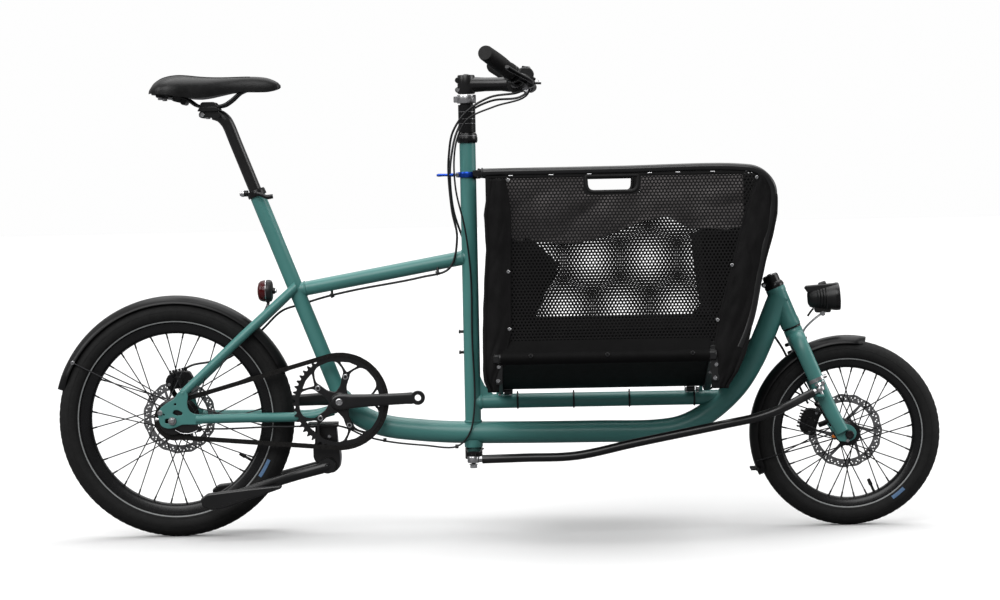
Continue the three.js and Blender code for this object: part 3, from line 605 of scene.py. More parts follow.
# ---- hoses and gear cable -----------------------------------------------------------------------
ROUTES = {
    "rear_brake_hose": (0.0025, [
        (786, -112, 962), (758, -60, 950), (700, -31, 943), (650, -32, 914), (618, -28, 870), (608, -20, 820),
        (606, -14, 777), (612, -16, 700), (622, -20, 640), (604, -18, 575), (540, -6, 556), (400, 0, 532),
        (330, 14, 517), (278, 23, 502), (233, 28, 488), (190, 31, 449), (150, 34, 412), (110, 36, 386),
        (70, 40, 378), (32, 43, 372), (10, 42, 362)]),
    "front_brake_hose": (0.0025, [
        (786, 112, 962), (758, 70, 944), (700, 30, 937), (650, 30, 912), (624, 27, 870), (612, 19, 820),
        (608, 14, 777), (614, 18, 700), (632, 28, 640), (646, 26, 600), (650, 24, 560), (652, 24, 400),
        (656, 24, 320), (680, 24, 288), (760, 24, 283), (1000, 24, 283)]),
    "gear_cable": (0.0020, [
        (793, -94, 973), (778, -78, 942), (710, -54, 922), (652, -46, 897), (630, -40, 862), (620, -34, 815),
        (622, -34, 745), (640, -34, 660), (650, -22, 560), (650, -21, 430), (652, -26, 270), (640, -28, 215),
        (612, -18, 187), (540, -8, 190), (460, -8, 200), (410, -16, 214), (376, -32, 232), (345, -37, 240),
        (300, -38, 239), (270, -41, 239), (240, -46, 239), (215, -51, 240), (120, -58, 238), (60, -62, 238),
        (30, -58, 232)]),
}
for name, (radius, points) in ROUTES.items():
    hose_obj = piece(name + "_sleeve", [sweep(line(*points, per=7), radius, 14)], HOSE, None, name,
                     angle=60)
    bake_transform(hose_obj)
fork_run = line((1000, 24, 283), (1050, 24.5, 283), (1105, 26, 283), (1172, 33, 302), (1224, 36, 352),
                (1262, 36, 410), (1292, 36, 426), (1320, 38, 394), (1342, 36, 350), (1362, 36, 300), (1380, 40, 262),
                per=7)
hose_obj = piece("front_brake_hose_to_fork", [sweep(fork_run, 0.0025, 14)], HOSE, None, angle=60)
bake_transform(hose_obj)


# ---- wheels -------------------------------------------------------------------------------------
def wheel(name, hub, radius, bead, rim, width, stripe, flange, spread, core, rotor_y, valve_at, tread_rows):
    """Tyre, rim, spokes, hub, brake rotor and valve of one wheel. Radii and widths are in millimetres."""
    body = f"{name}_wheel"
    half = width / 2
    section = radius - half

    def wall_y(r):
        """How far from the wheel's middle plane the side wall stands at a radius, in millimetres."""
        return half * math.sin(math.acos(max(-1, min(1, (r - section) / half))))

    outer = []
    for i in range(25):
        a = math.radians(-138 + 276 * i / 24)
        bulge = 1.0 + 0.012 * math.cos(2 * a)
        outer.append(((section + half * 0.972 * math.cos(a) * bulge) / 1000, half * math.sin(a) / 1000))
    outer = [((bead + 1.5) / 1000, -0.0115), ((bead + 7) / 1000, -0.0142)] + outer[1:-1]
    outer += [((bead + 7) / 1000, 0.0142), ((bead + 1.5) / 1000, 0.0115)]
    shapes = [revolve(outer, hub, Y, 180, start=X)]
    # tread: rows of blocks across the crown, set in a gentle zigzag
    step = 2 * math.pi / tread_rows
    for k in range(tread_rows):
        a0 = 2 * math.pi * k / tread_rows
        for angle, wide, long_, skew in ((0, 8.0, 0.62, 0), (27, 6.6, 0.60, 0.25), (-27, 6.6, 0.60, -0.25),
                                         (54, 6.0, 0.5, 0.5), (-54, 6.0, 0.5, -0.5)):
            phi = math.radians(angle)
            verts = []
            for lift in (0.968, 0.999):
                for du, dv in ((-1, -1), (1, -1), (1, 1), (-1, 1)):
                    shrink = 1 - 0.10 * (lift > 0.98)
                    p = phi + dv * shrink * wide / 2 / half
                    a = a0 + (skew + du * shrink * long_ / 2 * (0.9 if dv > 0 else 1.05)) * step
                    r = (section + half * lift * math.cos(p)) / 1000
                    verts.append(hub + X * (r * math.cos(a)) + Z * (r * math.sin(a))
                                 + Y * (half * lift * math.sin(p) / 1000))
            shapes.append((verts, [(0, 3, 2, 1), (4, 5, 6, 7), (0, 1, 5, 4), (1, 2, 6, 5), (2, 3, 7, 6),
                                   (3, 0, 4, 7)]))
    piece(f"{name}_tyre_cover", shapes, TYRE, body, f"{name}_tyre", angle=50)
    # fine moulded rings and the reflective line on each side wall
    rings, lines = [], []
    for s in (1, -1):
        at_y = wall_y(stripe) * s * 1.001
        lines.append(revolve([((stripe - 1.3) / 1000, (at_y - s * 0.9) / 1000),
                              ((stripe - 1.2) / 1000, (at_y + s * 0.30) / 1000),
                              ((stripe + 1.2) / 1000, (at_y + s * 0.85) / 1000),
                              ((stripe + 1.3) / 1000, (at_y - s * 0.9) / 1000)], hub, Y, 160))
        for extra in (5, 22):
            rr = stripe + extra
            yy = wall_y(rr) * s
            rings.append(revolve([((rr - 0.7) / 1000, (yy - s * 0.8) / 1000), (rr / 1000, (yy + s * 0.45) / 1000),
                                  ((rr + 0.7) / 1000, (yy - s * 0.8) / 1000)], hub, Y, 120))
    piece(f"{name}_tyre_ribs", rings, TYRE, body)
    piece(f"{name}_tyre_stripe", lines, STRIPE, body, angle=60)
    # rim with a hollow-section look, spokes with their nipples, and valve
    profile = [(rim + 0.0, 0), (rim + 0.8, 6.0), (rim + 4.0, 11.2), (rim + 9.0, 13.2), (bead + 2, 14.3),
               (bead + 6.2, 14.9), (bead + 7.0, 14.3), (bead + 6.6, 13.2), (bead + 1.4, 12.0)]
    profile = profile + [(r, -y) for r, y in reversed(profile[1:])]
    rim_shape = revolve([(r / 1000, y / 1000) for r, y in profile] + [(rim / 1000, 0)], hub, Y, 160)
    piece(f"{name}_rim_hoop", [rim_shape], ANODISED, body, f"{name}_rim", angle=40)
    spokes, nipples = [], []
    for i in range(32):
        s = 1 if i % 2 else -1
        a_rim = 2 * math.pi * (i + 0.5) / 32
        lead = math.radians(58) * (1 if (i // 2) % 2 else -1) * (0.62 if flange > 35 else 0.95)
        a_hub = a_rim + lead
        lean = 2.0 if (i // 2) % 2 else -2.0
        p0 = hub + (X * math.cos(a_hub) + Z * math.sin(a_hub)) * ((flange - 3) / 1000) + Y * ((s * spread
                                                                                               + lean) / 1000)
        p1 = hub + (X * math.cos(a_rim) + Z * math.sin(a_rim)) * ((rim + 1.5) / 1000) + Y * (s * 2.5 / 1000)
        spokes.append(sweep([p0, p0.lerp(p1, 0.5), p1], 0.00130, 8))
        d = (p0 - p1).normalized()
        nipples.append(rod(p1 - d * 0.001, p1 + d * 0.012, 0.0019, 10))
        nipples.append(revolve([(0, -0.0012), (0.0034, -0.0012), (0.003, 0.0008), (0, 0.0012)], p1 + d * 0.0008, d,
                               12))
    piece(f"{name}_spokes", spokes, SPOKE, body)
    piece(f"{name}_nipples", nipples, CHAINSTEEL if name == "rear" else SPOKE, body)
    f, c = flange / 1000, core / 1000
    y = spread / 1000
    shell_ = [(0.006, -0.040), (c * 0.62, -0.040), (c * 0.70, -0.037), (c * 0.9, -y - 0.006), (c, -y - 0.004),
              (f - 0.003, -y - 0.0025), (f, -y - 0.001), (f, -y + 0.001), (f - 0.003, -y + 0.0025),
              (c + 0.002, -y + 0.005),
              (c * 0.97, -y + 0.010), (c * 0.94, 0), (c * 0.97, y - 0.010), (c + 0.002, y - 0.005),
              (f - 0.003, y - 0.0025),
              (f, y - 0.001), (f, y + 0.001), (f - 0.003, y + 0.0025), (c, y + 0.004), (c * 0.9, y + 0.006),
              (c * 0.70, 0.037), (c * 0.62, 0.0375), (0.006, 0.0375)]
    piece(f"{name}_hub_shell", [revolve(shell_, hub, Y, 56)], ANODISED, body, f"{name}_hub", angle=30)
    # brake rotor: wavy rim with two rows of holes, swept arms and a carrier
    wave = [(80 + 1.1 * math.cos(15 * a), a) for a in (2 * math.pi * i / 180 for i in range(180))]
    outline_ = [(r * math.cos(a), r * math.sin(a)) for r, a in wave]
    holes = []
    for k in range(6):
        a0 = 60 * k
        inner_arc = arc(0, 0, 63 - 0.4, a0 + 1, a0 + 56, 9)
        root = arc(0, 0, 27, a0 + 67, a0 + 27, 4)
        holes.append(inner_arc + root)
    for k in range(30):
        a = math.radians(12 * k)
        holes.append(circle(74.6 * math.cos(a), 74.6 * math.sin(a), 1.7, 8))
        holes.append(circle(69.6 * math.cos(a + 0.07), 69.6 * math.sin(a + 0.07), 1.6, 8))
        holes.append(circle(73 * math.cos(a + 0.105), 73 * math.sin(a + 0.105), 1.3, 8))
    holes.append(circle(0, 0, 17, 28))
    to = Matrix.Translation(Vector((hub.x, 0, hub.z))) @ Matrix.Scale(0.001, 4)
    disc = slab([outline_] + holes, rotor_y - 0.9, rotor_y + 0.9, 0.0, to=to)
    piece(f"{name}_rotor_disc", [disc], ROTOR, body, f"{name}_rotor", angle=30)
    carrier = [revolve([(0.0105, (rotor_y - 1.8) / 1000), (0.0185, (rotor_y - 1.8) / 1000),
                        (0.0185, (rotor_y + 2) / 1000),
                        (0.0105, (rotor_y + 2.4) / 1000)], hub, Y, 36)]
    carrier += [bolt(hub + (X * math.cos(k) + Z * math.sin(k)) * 0.022 + Y * ((rotor_y + 0.9) / 1000), Y, 0.0036,
                     0.0022)
                for k in np.linspace(0.3, 0.3 + 2 * math.pi, 7)[:6]]
    piece(f"{name}_rotor_carrier", carrier, ANODISED, body)
    d = (P(valve_at[0], 0, valve_at[1]) - hub).normalized()
    root = hub + d * ((rim + 1) / 1000)
    piece(f"{name}_valve", [rod(root, root - d * 0.020, 0.0029, 14), rod(root - d * 0.016, root - d * 0.030, 0.0043,
                                                                         16, 0.0036, 0.0008)],
          RUBBER, body)
    mark = math.atan2(-0.55, 0.83) - 0.03 if name == "rear" else math.atan2(-0.83, 0.55)
    rr = stripe + 9
    label_line = [((rr + offset) / 1000, (-wall_y(rr + offset) - 0.9) / 1000) for offset in (-3.8, -1.9, 0.0, 1.9,
                                                                                             3.8)]
    label = revolve(label_line, hub, Y, 16, start=X * math.cos(mark) + Z * math.sin(mark), sweep_angle=-0.19)
    piece(f"{name}_tyre_label", [label], BLUEMARK, body, angle=60)


wheel("rear", REAR_AXLE, 258, 203, 186, 55, 213, 46, 29, 30, 44, (150, 170), 96)
wheel("front", FRONT_AXLE, 201, 152.5, 141, 50, 161, 27, 27, 15, 38.5, (1514, 77), 76)

# axles, nuts and the tensioner plate at the rear
nuts = []
for s in (1, -1):
    nuts.append(revolve([(0, 0.0738), (0.0086, 0.0738), (0.0086, 0.0750), (0, 0.0750)], REAR_AXLE, Y * s, 30))
    nuts.append(revolve([(0, 0.0750), (0.0070, 0.0750), (0.0070, 0.0815), (0.0058, 0.0828), (0, 0.0828)], REAR_AXLE,
                        Y * s, 6))
    nuts.append(rod(REAR_AXLE + Y * s * 0.0828, REAR_AXLE + Y * s * 0.0845, 0.0045, 18, bevel=0.0006))
nuts.append(bolt(P(-26, -73.4, 276), -Y, 0.0055, 0.0035))
piece("rear_axle_nuts", [rod(REAR_AXLE - Y * 0.083, REAR_AXLE + Y * 0.083, 0.0047, 20), *nuts], STEEL, "frame",
      "rear_axle",
      angle=30)
arm = slab([rounded([(0, 250), (18, 234), (52, 231), (66, 238), (56, 246), (26, 250)], 4)], -67, -63.5, 0.8)
arm_ring = revolve([(0.016, -0.0625), (0.0300, -0.0625), (0.0310, -0.0610), (0.0310, -0.0585), (0.016, -0.0585)],
                   REAR_AXLE, Y, 44)
piece("hub_gear_arm", [arm, arm_ring, rod(P(58, -61, 238), P(58, -72, 238), 0.0050, 18, bevel=0.001)], SATIN, "frame")
inner_wire = sweep(line((58, -69, 238), (40, -69.5, 231), (20, -69.5, 231), (6, -69, 238)), 0.0010, 8)
piece("hub_gear_wire", [inner_wire], STEEL, "frame")
piece("rear_tensioner_screw", [rod(P(-34, -70, 262), P(-26, -70, 262), 0.0028, 14),
                               bolt(P(-33, -70, 262), -X, 0.0045, 0.004)],
      CHROME, "frame")


# ---- chain, chainring and cranks ----------------------------------------------------------------
PITCH = 12.7
RING_TEETH, COG_TEETH = 50, 18
R_RING = PITCH / (2 * math.sin(math.pi / RING_TEETH))
R_COG = PITCH / (2 * math.sin(math.pi / COG_TEETH))
CHAIN_Y = -48
REAR_AXLE_Z = 258


def chain_loop():
    """Evenly spaced pin places round the loop, in (x, z) millimetres."""
    dx, dz = CRANK_X, CRANK_Z - REAR_AXLE_Z
    span = math.hypot(dx, dz)
    lean = math.atan2(dz, dx)
    wrap = math.acos((R_COG - R_RING) / span)
    pts = [(CRANK_X + R_RING * math.cos(a), CRANK_Z + R_RING * math.sin(a)) for a in np.linspace(lean - wrap,
                                                                                                 lean + wrap, 90)]
    first = [(R_COG * math.cos(a), REAR_AXLE_Z + R_COG * math.sin(a))
             for a in np.linspace(lean + wrap, lean - wrap + 2 * math.pi, 40)]
    pts = np.array(pts + first + [pts[0]])
    run = np.concatenate([[0], np.cumsum(np.hypot(*np.diff(pts, axis=0).T))])
    count = 2 * round(run[-1] / PITCH / 2)
    s = np.linspace(0, run[-1], count, endpoint=False)
    return np.stack([np.interp(s, run, pts[:, 0]), np.interp(s, run, pts[:, 1])], 1)


PINS = chain_loop()
links = []
for i, p in enumerate(PINS):
    q = PINS[(i + 1) % len(PINS)]
    d = (q - p) / np.linalg.norm(q - p)
    n = np.array([-d[1], d[0]])
    outline_ = []
    for c, sgn in ((p, -1), (q, 1)):
        for a in np.linspace(-math.pi / 2, math.pi / 2, 7):
            outline_.append(c + (d * math.cos(a) * sgn + n * math.sin(a) * sgn) * 4.9)
    waist = [tuple(o) for o in outline_]
    gap = 2.7 if i % 2 else 3.7
    for s in (1, -1):
        y0 = CHAIN_Y + s * gap
        verts = [P(x, y0 - 0.45, z) for x, z in waist] + [P(x, y0 + 0.45, z) for x, z in waist]
        m = len(waist)
        faces = [tuple(range(m)), tuple(reversed(range(m, 2 * m)))]
        faces += [(k, (k + 1) % m, m + (k + 1) % m, m + k) for k in range(m)]
        links.append((verts, faces))
    links.append(rod(P(p[0], -52.5, p[1]), P(p[0], -43.5, p[1]), 0.0018, 8))
    links.append(rod(P(p[0], -50.4, p[1]), P(p[0], -45.6, p[1]), 0.0038, 10))
piece("chain_links", links, CHAINSTEEL, "frame", "chain", angle=30)


def toothed(cx, cz, pitch_r, teeth, phase=0.0):
    """The outline of a chain wheel."""
    out = []
    for k in range(teeth):
        a = phase + 2 * math.pi * k / teeth
        w = 2 * math.pi / teeth
        for f, r in ((-0.5, pitch_r - 4.1), (-0.30, pitch_r - 3.2), (-0.16, pitch_r + 1.0), (-0.07, pitch_r + 3.0),
                     (0.07, pitch_r + 3.0), (0.16, pitch_r + 1.0), (0.30, pitch_r - 3.2)):
            out.append((cx + r * math.cos(a + f * w), cz + r * math.sin(a + f * w)))
    return out


def about_crank(points):
    """Places given as (distance, degrees) from the crank's centre."""
    return [(CRANK_X + r * math.cos(math.radians(t)), CRANK_Z + r * math.sin(math.radians(t))) for r, t in points]


ring_inside, ring_windows, star = [], [], []
for k in range(5):
    a = 3.6 + 72 * k
    ring_inside += [(48, a - 9), (48, a + 9), (57, a + 8), (64, a + 6.8), (73, a + 10.5), (85, a + 17.5),
                    (88.5, a + 24), (88.8, a + 30), (88.8, a + 42), (88.5, a + 48), (85, a + 54.5), (73, a + 61.5),
                    (64, a + 65.2), (57, a + 64)]
    ring_windows.append(rounded(about_crank([(85.8, a - 13.2), (86.8, a), (85.8, a + 13.2), (65, a)]), 3.2, 4))
    star += [(62.5, a - 5), (62.5, a + 5), (53, a + 8.5), (36, a + 10.5), (22.5, a + 36), (36, a + 61.5),
             (53, a + 63.5)]
phase = math.atan2(PINS[0][1] - CRANK_Z, PINS[0][0] - CRANK_X) + math.pi / RING_TEETH
ring = slab([toothed(CRANK_X, CRANK_Z, R_RING, RING_TEETH, phase), rounded(about_crank(ring_inside), 4, 4)]
            + ring_windows,
            -49.4, -46.2, 0.0)
piece("chainring_teeth", [ring], SATIN, "crankset", "chainring", angle=25)
spider = [rod(BB - Y * 0.050, BB - Y * 0.063, 0.0200, 40, bevel=0.002),
          slab([rounded(about_crank(star), 5, 4)], -58.5, -49.4, 1.4)]
ring_bolts = []
for k in range(5):
    t = math.radians(3.6 + 72 * k)
    tip = BB + (X * math.cos(t) + Z * math.sin(t)) * 0.055 - Y * 0.0585
    ring_bolts.append(revolve([(0.0030, -0.0018), (0.0034, 0.0012), (0.0052, 0.0012), (0.0060, 0.0004),
                               (0.0060, -0.0010)],
                              tip, -Y, 24))
    ring_bolts.append(revolve([(0, -0.0006), (0.0034, -0.0006)], tip, -Y, 6))
piece("spider_arms", spider, SATIN, "crankset", angle=40)
piece("chainring_bolts", ring_bolts, CHROME, "crankset", recalc=False)


def crank_arm(name, s, node):
    """A forged arm with its pedal eye, on the left for s = 1 and on the right for s = -1."""
    tilt = math.radians(2)
    u = (X * math.cos(tilt) + Z * math.sin(tilt)) * (1 if s < 0 else -1)
    w = Y.cross(u)
    inner, outer = (-0.0572, -0.0698) if s < 0 else (0.0562, 0.0688)
    mid, thick = (inner + outer) / 2, abs(outer - inner) / 2
    stations = [(-0.0165, 0.003), (-0.014, 0.011), (-0.008, 0.0165), (0.0, 0.0185), (0.010, 0.0180), (0.024, 0.0155),
                (0.060, 0.0138), (0.110, 0.0126), (0.145, 0.0124), (0.156, 0.0130), (0.1605, 0.0118)]
    verts, faces = [], []
    sides = 20
    for t, half in stations:
        for k in range(sides):
            a = 2 * math.pi * k / sides
            ca, sa = math.cos(a), math.sin(a)
            ex = math.copysign(abs(ca) ** 0.55, ca) * half
            ey = math.copysign(abs(sa) ** 0.55, sa) * thick
            verts.append(BB + u * t + w * ex + Y * (mid + ey))
    n = len(stations)
    for i in range(n - 1):
        for k in range(sides):
            m = (k + 1) % sides
            faces.append((i * sides + k, i * sides + m, (i + 1) * sides + m, (i + 1) * sides + k))
    faces.append(tuple(range(sides)))
    tip = BB + u * 0.170 + Y * mid
    eye = revolve([(0.0070, -thick), (0.0142, -thick), (0.0153, -thick + 0.0012), (0.0153, thick - 0.0012),
                   (0.0142, thick), (0.0070, thick), (0.0070, -thick)], tip, Y, 40)
    boss = revolve([(0, thick + 0.0002), (0.0120, thick + 0.0002), (0.0125, thick - 0.002)] if s > 0 else
                   [(0, -thick - 0.0002), (0.0120, -thick - 0.0002), (0.0125, -thick + 0.002)], BB + Y * mid, Y, 36)
    piece(name, [(verts, faces), eye, boss], SATIN, "crankset", node, angle=40, recalc=True)


for name, s, node in (("crank_arm_right", -1, "crank_right"), ("crank_arm_left", 1, "crank_left")):
    crank_arm(name, s, node)
piece("crank_centre_bolts", [bolt(BB - Y * 0.0698, -Y, 0.0075, 0.003), bolt(BB + Y * 0.0688, Y, 0.0075, 0.003)],
      CHROME, "crankset")
piece("crank_spindle", [rod(BB - Y * 0.060, BB + Y * 0.060, 0.0098, 28)], STEEL, "crankset")
cog = slab([toothed(0, REAR_AXLE_Z, R_COG, COG_TEETH, 0.1)] + [circle(0, REAR_AXLE_Z, 17, 30)], -49.2, -46.8, 0.0)
cog_body = revolve([(0.0056, -0.056), (0.0140, -0.056), (0.0150, -0.054), (0.0150, -0.0500), (0.024, -0.0495),
                    (0.026, -0.0470), (0.0150, -0.0462), (0.0150, -0.0425), (0.0056, -0.0425)], REAR_AXLE, Y, 40)
piece("rear_cog", [cog, cog_body], CHAINSTEEL, "rear_sprocket", "rear_sprocket", angle=25)

# ---- mudguards ----------------------------------------------------------------------------------
def mudguard(name, centre, inner, a0, a1, half, body, node, taper):
    """A domed strip round the wheel with rolled edges and a middle ridge."""
    n, m = 72, 15  # steps along and across
    verts, faces = [], []
    for lift in (0.0, 0.0022):
        for i in range(n + 1):
            t = i / n
            a = math.radians(a0 + (a1 - a0) * t)
            edge = min(1.0, min(t * taper[0], (1 - t) * taper[1]) + 0.55)
            for k in range(m):
                v = -1 + 2 * k / (m - 1)
                y = v * half * min(1.0, edge)
                drop = 15.5 * abs(v) ** 2.6
                ridge = 0.7 * math.exp(-((abs(v) - 0.45) / 0.08) ** 2)
                r = (inner + 7.6 - drop + ridge) / 1000 + lift
                verts.append(centre + X * (r * math.cos(a)) + Z * (r * math.sin(a)) + Y * (y / 1000))
    layer_size = (n + 1) * m
    for i in range(n):
        for k in range(m - 1):
            a, b, c, d = i * m + k, (i + 1) * m + k, (i + 1) * m + k + 1, i * m + k + 1
            faces.append((a, b, c, d))
            faces.append((d + layer_size, c + layer_size, b + layer_size, a + layer_size))
    rim_ids = [k for k in range(m)] + [(i + 1) * m - 1 for i in range(1, n + 1)]
    rim_ids += [n * m + k for k in range(m - 2, -1, -1)] + [i * m for i in range(n - 1, 0, -1)]
    for p, q in zip(rim_ids, rim_ids[1:] + rim_ids[:1]):
        faces.append((p, q, q + layer_size, p + layer_size))
    return piece(name, [(verts, faces)], FENDER, body, node, angle=60)


mudguard("rear_mudguard", REAR_AXLE, 259.5, 22, 165, 27, "frame", "rear_fender", (16, 10))
mudguard("front_mudguard", FRONT_AXLE, 202.0, 78, 205, 25, "fork", "front_fender", (10, 16))


def mudguard_stays(start, foot):
    """A pair of wires from the mudguard's edges to the frame, with side +1 and -1."""
    return [sweep([start(s), start(s).lerp(foot(s), 0.5), foot(s)], 0.0015, 10) for s in (1, -1)]


piece("rear_mudguard_stays", mudguard_stays(lambda s: round_wheel(REAR_AXLE, 0.2550, 150, s * 0.0285),
                                            lambda s: P(-14, s * 66, 284)), SPOKE, "frame")
piece("rear_mudguard_bolts", [bolt(round_wheel(REAR_AXLE, 0.2550, 150, s * 0.0275), Y * s, 0.0042, 0.003)
                              for s in (1, -1)], CHROME, "frame")
mount = [sweep(line((176, 0, 463), (182, 0, 468), (190, 0, 474)), 0.007, 14, flat=1.6)]
piece("rear_mudguard_bridge", mount, PLASTIC, "frame")
piece("front_mudguard_stays", mudguard_stays(lambda s: round_wheel(FRONT_AXLE, 0.2055, 196, s * 0.0262),
                                             lambda s: P(1440, s * 56, 196)), SPOKE, "fork")
flap_at = round_wheel(FRONT_AXLE, 0.2085, 201)
flap = [rod(flap_at - Y * 0.024 + X * -0.002, flap_at + Y * 0.024 + X * -0.002, 0.0042, 16, bevel=0.001),
        rod(flap_at - Y * 0.018 + X * 0.002, flap_at - Y * 0.018 + X * -0.016, 0.0034, 14, bevel=0.0008),
        rod(flap_at + Y * 0.018 + X * 0.002, flap_at + Y * 0.018 + X * -0.016, 0.0034, 14, bevel=0.0008)]
piece("front_mudguard_clip", flap, PLASTIC, "fork")

# ---- front fork ---------------------------------------------------------------------------------
crown = []
for s in (1, -1):
    crown.append(sweep(path([head_at(-19, 0, s * 2), head_at(-20, 0, s * 26), head_at(-25, 0, s * 43),
                             head_at(-42, 0, s * 53), head_at(-75, 0.5, s * 58), head_at(-150, 2.0, s * 60),
                             head_at(-205, 5.0, s * 60.5), head_at(-246, 9, s * 61)], 10),
                       [0.0185, 0.0180, 0.0172, 0.0168, 0.0165, 0.0160, 0.0150, 0.0142], 36, flat=0.62, up=(0, 1, 0)))
crown.append(rod(head_at(-38), head_at(-2.4), 0.0202, 44, bevel=0.002))
for s in (1, -1):
    tip = [(-8, -236), (-14, -226), (14, -226), (34, -243), (38, -258), (30, -270), (14, -272), (-6, -262)]
    plate_ = slab([rounded(tip, 6, 4)], s * 56 - 3.2, s * 56 + 3.2, 1.0,
                  to=Matrix.Translation(HEAD_BASE) @ Matrix(((FORE.x, 0, HEAD.x), (0, 1, 0),
                                                             (FORE.z, 0, HEAD.z))).to_4x4()
                  @ Matrix.Scale(0.001, 4))
    crown.append(plate_)
piece("fork_body", crown, PAINT, "fork", "fork", angle=50)
cap = [revolve([(0, 0.123), (0.0145, 0.123), (0.0170, 0.121), (0.0176, 0.1175), (0.0176, 0.0975), (0.0150, 0.0955)],
               HEAD_BASE, HEAD, 40),
       rod(head_at(107, -12, -7.5), head_at(107, -12, 7.5), 0.0075, 20, bevel=0.001),
       rod(head_at(107, -19, -7.8), head_at(107, -19, 7.8), 0.0062, 20, bevel=0.001)]
piece("fork_top_clamp", cap, ANODISED, "fork")
piece("fork_top_bolts", [bolt(head_at(107, -20, -7.8), -Y, 0.0038, 0.003), bolt(head_at(123), HEAD, 0.0055, 0.002)],
      CHROME, "fork")
axle = [rod(FRONT_AXLE - Y * 0.066, FRONT_AXLE + Y * 0.066, 0.0048, 20),
        rod(FRONT_AXLE - Y * 0.0594, FRONT_AXLE - Y * 0.0685, 0.0092, 30, bevel=0.001),
        rod(FRONT_AXLE + Y * 0.0594, FRONT_AXLE + Y * 0.0685, 0.0092, 30, bevel=0.001)]
piece("front_axle_nuts", axle, ANODISED, "fork", "front_axle")
piece("front_axle_sockets",
      [revolve([(0, 0.0688), (0.004, 0.0688), (0.005, 0.0700), (0.006, 0.0700), (0.006, 0.0686)],
                                     FRONT_AXLE, -Y, 24)], PLASTIC, "fork")
marks = [bolt(head_at(-268, 12, -59.5), -Y, 0.004, 0.003), bolt(P(1403, -72, 314), -Y, 0.005, 0.0035)]
piece("fork_bolts", marks, CHROME, "fork")
band = []
leg_axis = (head_at(-150, 2, -60) - head_at(-75, 0.5, -58)).normalized()
leg_at = head_at(-121, 1.2, -59.4)
band.append(sweep([leg_at - leg_axis * 0.004, leg_at + leg_axis * 0.004], 0.0172, 36, flat=0.66))
band.append(rod(leg_at + FORE * 0.015, leg_at + FORE * 0.024, 0.0042, 16, bevel=0.0006))
piece("fork_leg_band", band, STEEL, "fork", angle=40)
piece("orange_tag", [rod(P(1424, -50, 199), P(1431, -50, 190), 0.0032, 14, bevel=0.0008)], ORANGE, "fork")
lug = [sweep(path([P(1398, -68, 284), P(1397, -80, 285), P(1396, -88, 287)], 6), 0.0085, 20, flat=0.55, up=(0, 0, 1)),
       rod(P(1395, -88, 286), P(1395, -88, 291), 0.010, 24, bevel=0.001)]
piece("fork_rod_arm", lug, PAINT, "fork")
hose_guide = [rod(head_at(-34, -18, 22), head_at(-34, -26, 30), 0.004, 14, bevel=0.0008),
              rod(head_at(-52, -18, 26), head_at(-52, -27, 34), 0.004, 14, bevel=0.0008)]
piece("fork_hose_guides", hose_guide, PLASTIC, "fork")


# ---- disc brake calipers ------------------------------------------------------------------------
def caliper(name, centre, turn, body, node, y_mid):
    """A two-piece caliper that straddles the rotor at y_mid, turned about the axle's direction."""
    to = Matrix.Translation(centre) @ Matrix.Rotation(turn, 4, "Y") @ Matrix.Scale(0.001, 4)
    shapes = []
    outline_ = rounded([(-27, -16), (24, -18), (31, -4), (26, 15), (4, 21), (-22, 17), (-31, 3)], 6, 3)
    shapes.append(slab([outline_], y_mid + 2.2, y_mid + 13, 2.0, to=to))
    shapes.append(slab([outline_], y_mid - 13, y_mid - 2.2, 2.0, to=to))
    shapes.append(slab([rounded([(-20, 8), (18, 6), (18, 19), (-16, 20)], 4, 3)], y_mid - 4, y_mid + 4, 0.8, to=to))
    for fin in range(6):
        x = -18 + fin * 7
        shapes.append(slab([[(x, 17), (x + 3.2, 17), (x + 3.2, 25), (x, 25)]], y_mid - 9, y_mid + 9, 0.5, to=to))

    def local(x, y, z):
        return to @ Vector((x, y, z))

    shapes.append(rod(local(-2, y_mid - 15.5, -1), local(-2, y_mid + 15.5, -1), 0.0115, 30, bevel=0.001))
    screws = [bolt(local(x, y_mid - 13, z), -Y, 0.0036, 0.0035) for x, z in ((-23, -4), (22, -8))]
    screws += [bolt(local(x, y_mid + 13, z), Y, 0.0036, 0.0035) for x, z in ((-23, -4), (22, -8))]
    piece(name + "_body", shapes, ANODISED, body, node, angle=35)
    piece(name + "_screws", screws, STEEL, body)


caliper("rear_disc_brake", P(2, 0, 339), math.radians(-12), "frame", "rear_caliper", 44)
caliper("front_disc_brake", P(1383, 0, 223), math.radians(-74), "fork", "front_caliper", 38.5)
adapters = [sweep([P(-22, 54, 330), P(-16, 62, 312), P(-8, 68, 298)], 0.006, 14, flat=0.6),
            sweep([P(26, 54, 332), P(22, 62, 318), P(14, 68, 306)], 0.006, 14, flat=0.6)]
piece("rear_brake_mount", adapters, SATIN, "frame")
piece("front_brake_mount", [sweep([P(1398, 46, 258), P(1404, 54, 262), P(1410, 58, 262)], 0.006, 14, flat=0.6),
                            sweep([P(1404, 46, 214), P(1418, 54, 218), P(1428, 58, 222)], 0.006, 14, flat=0.6)],
      SATIN, "fork")

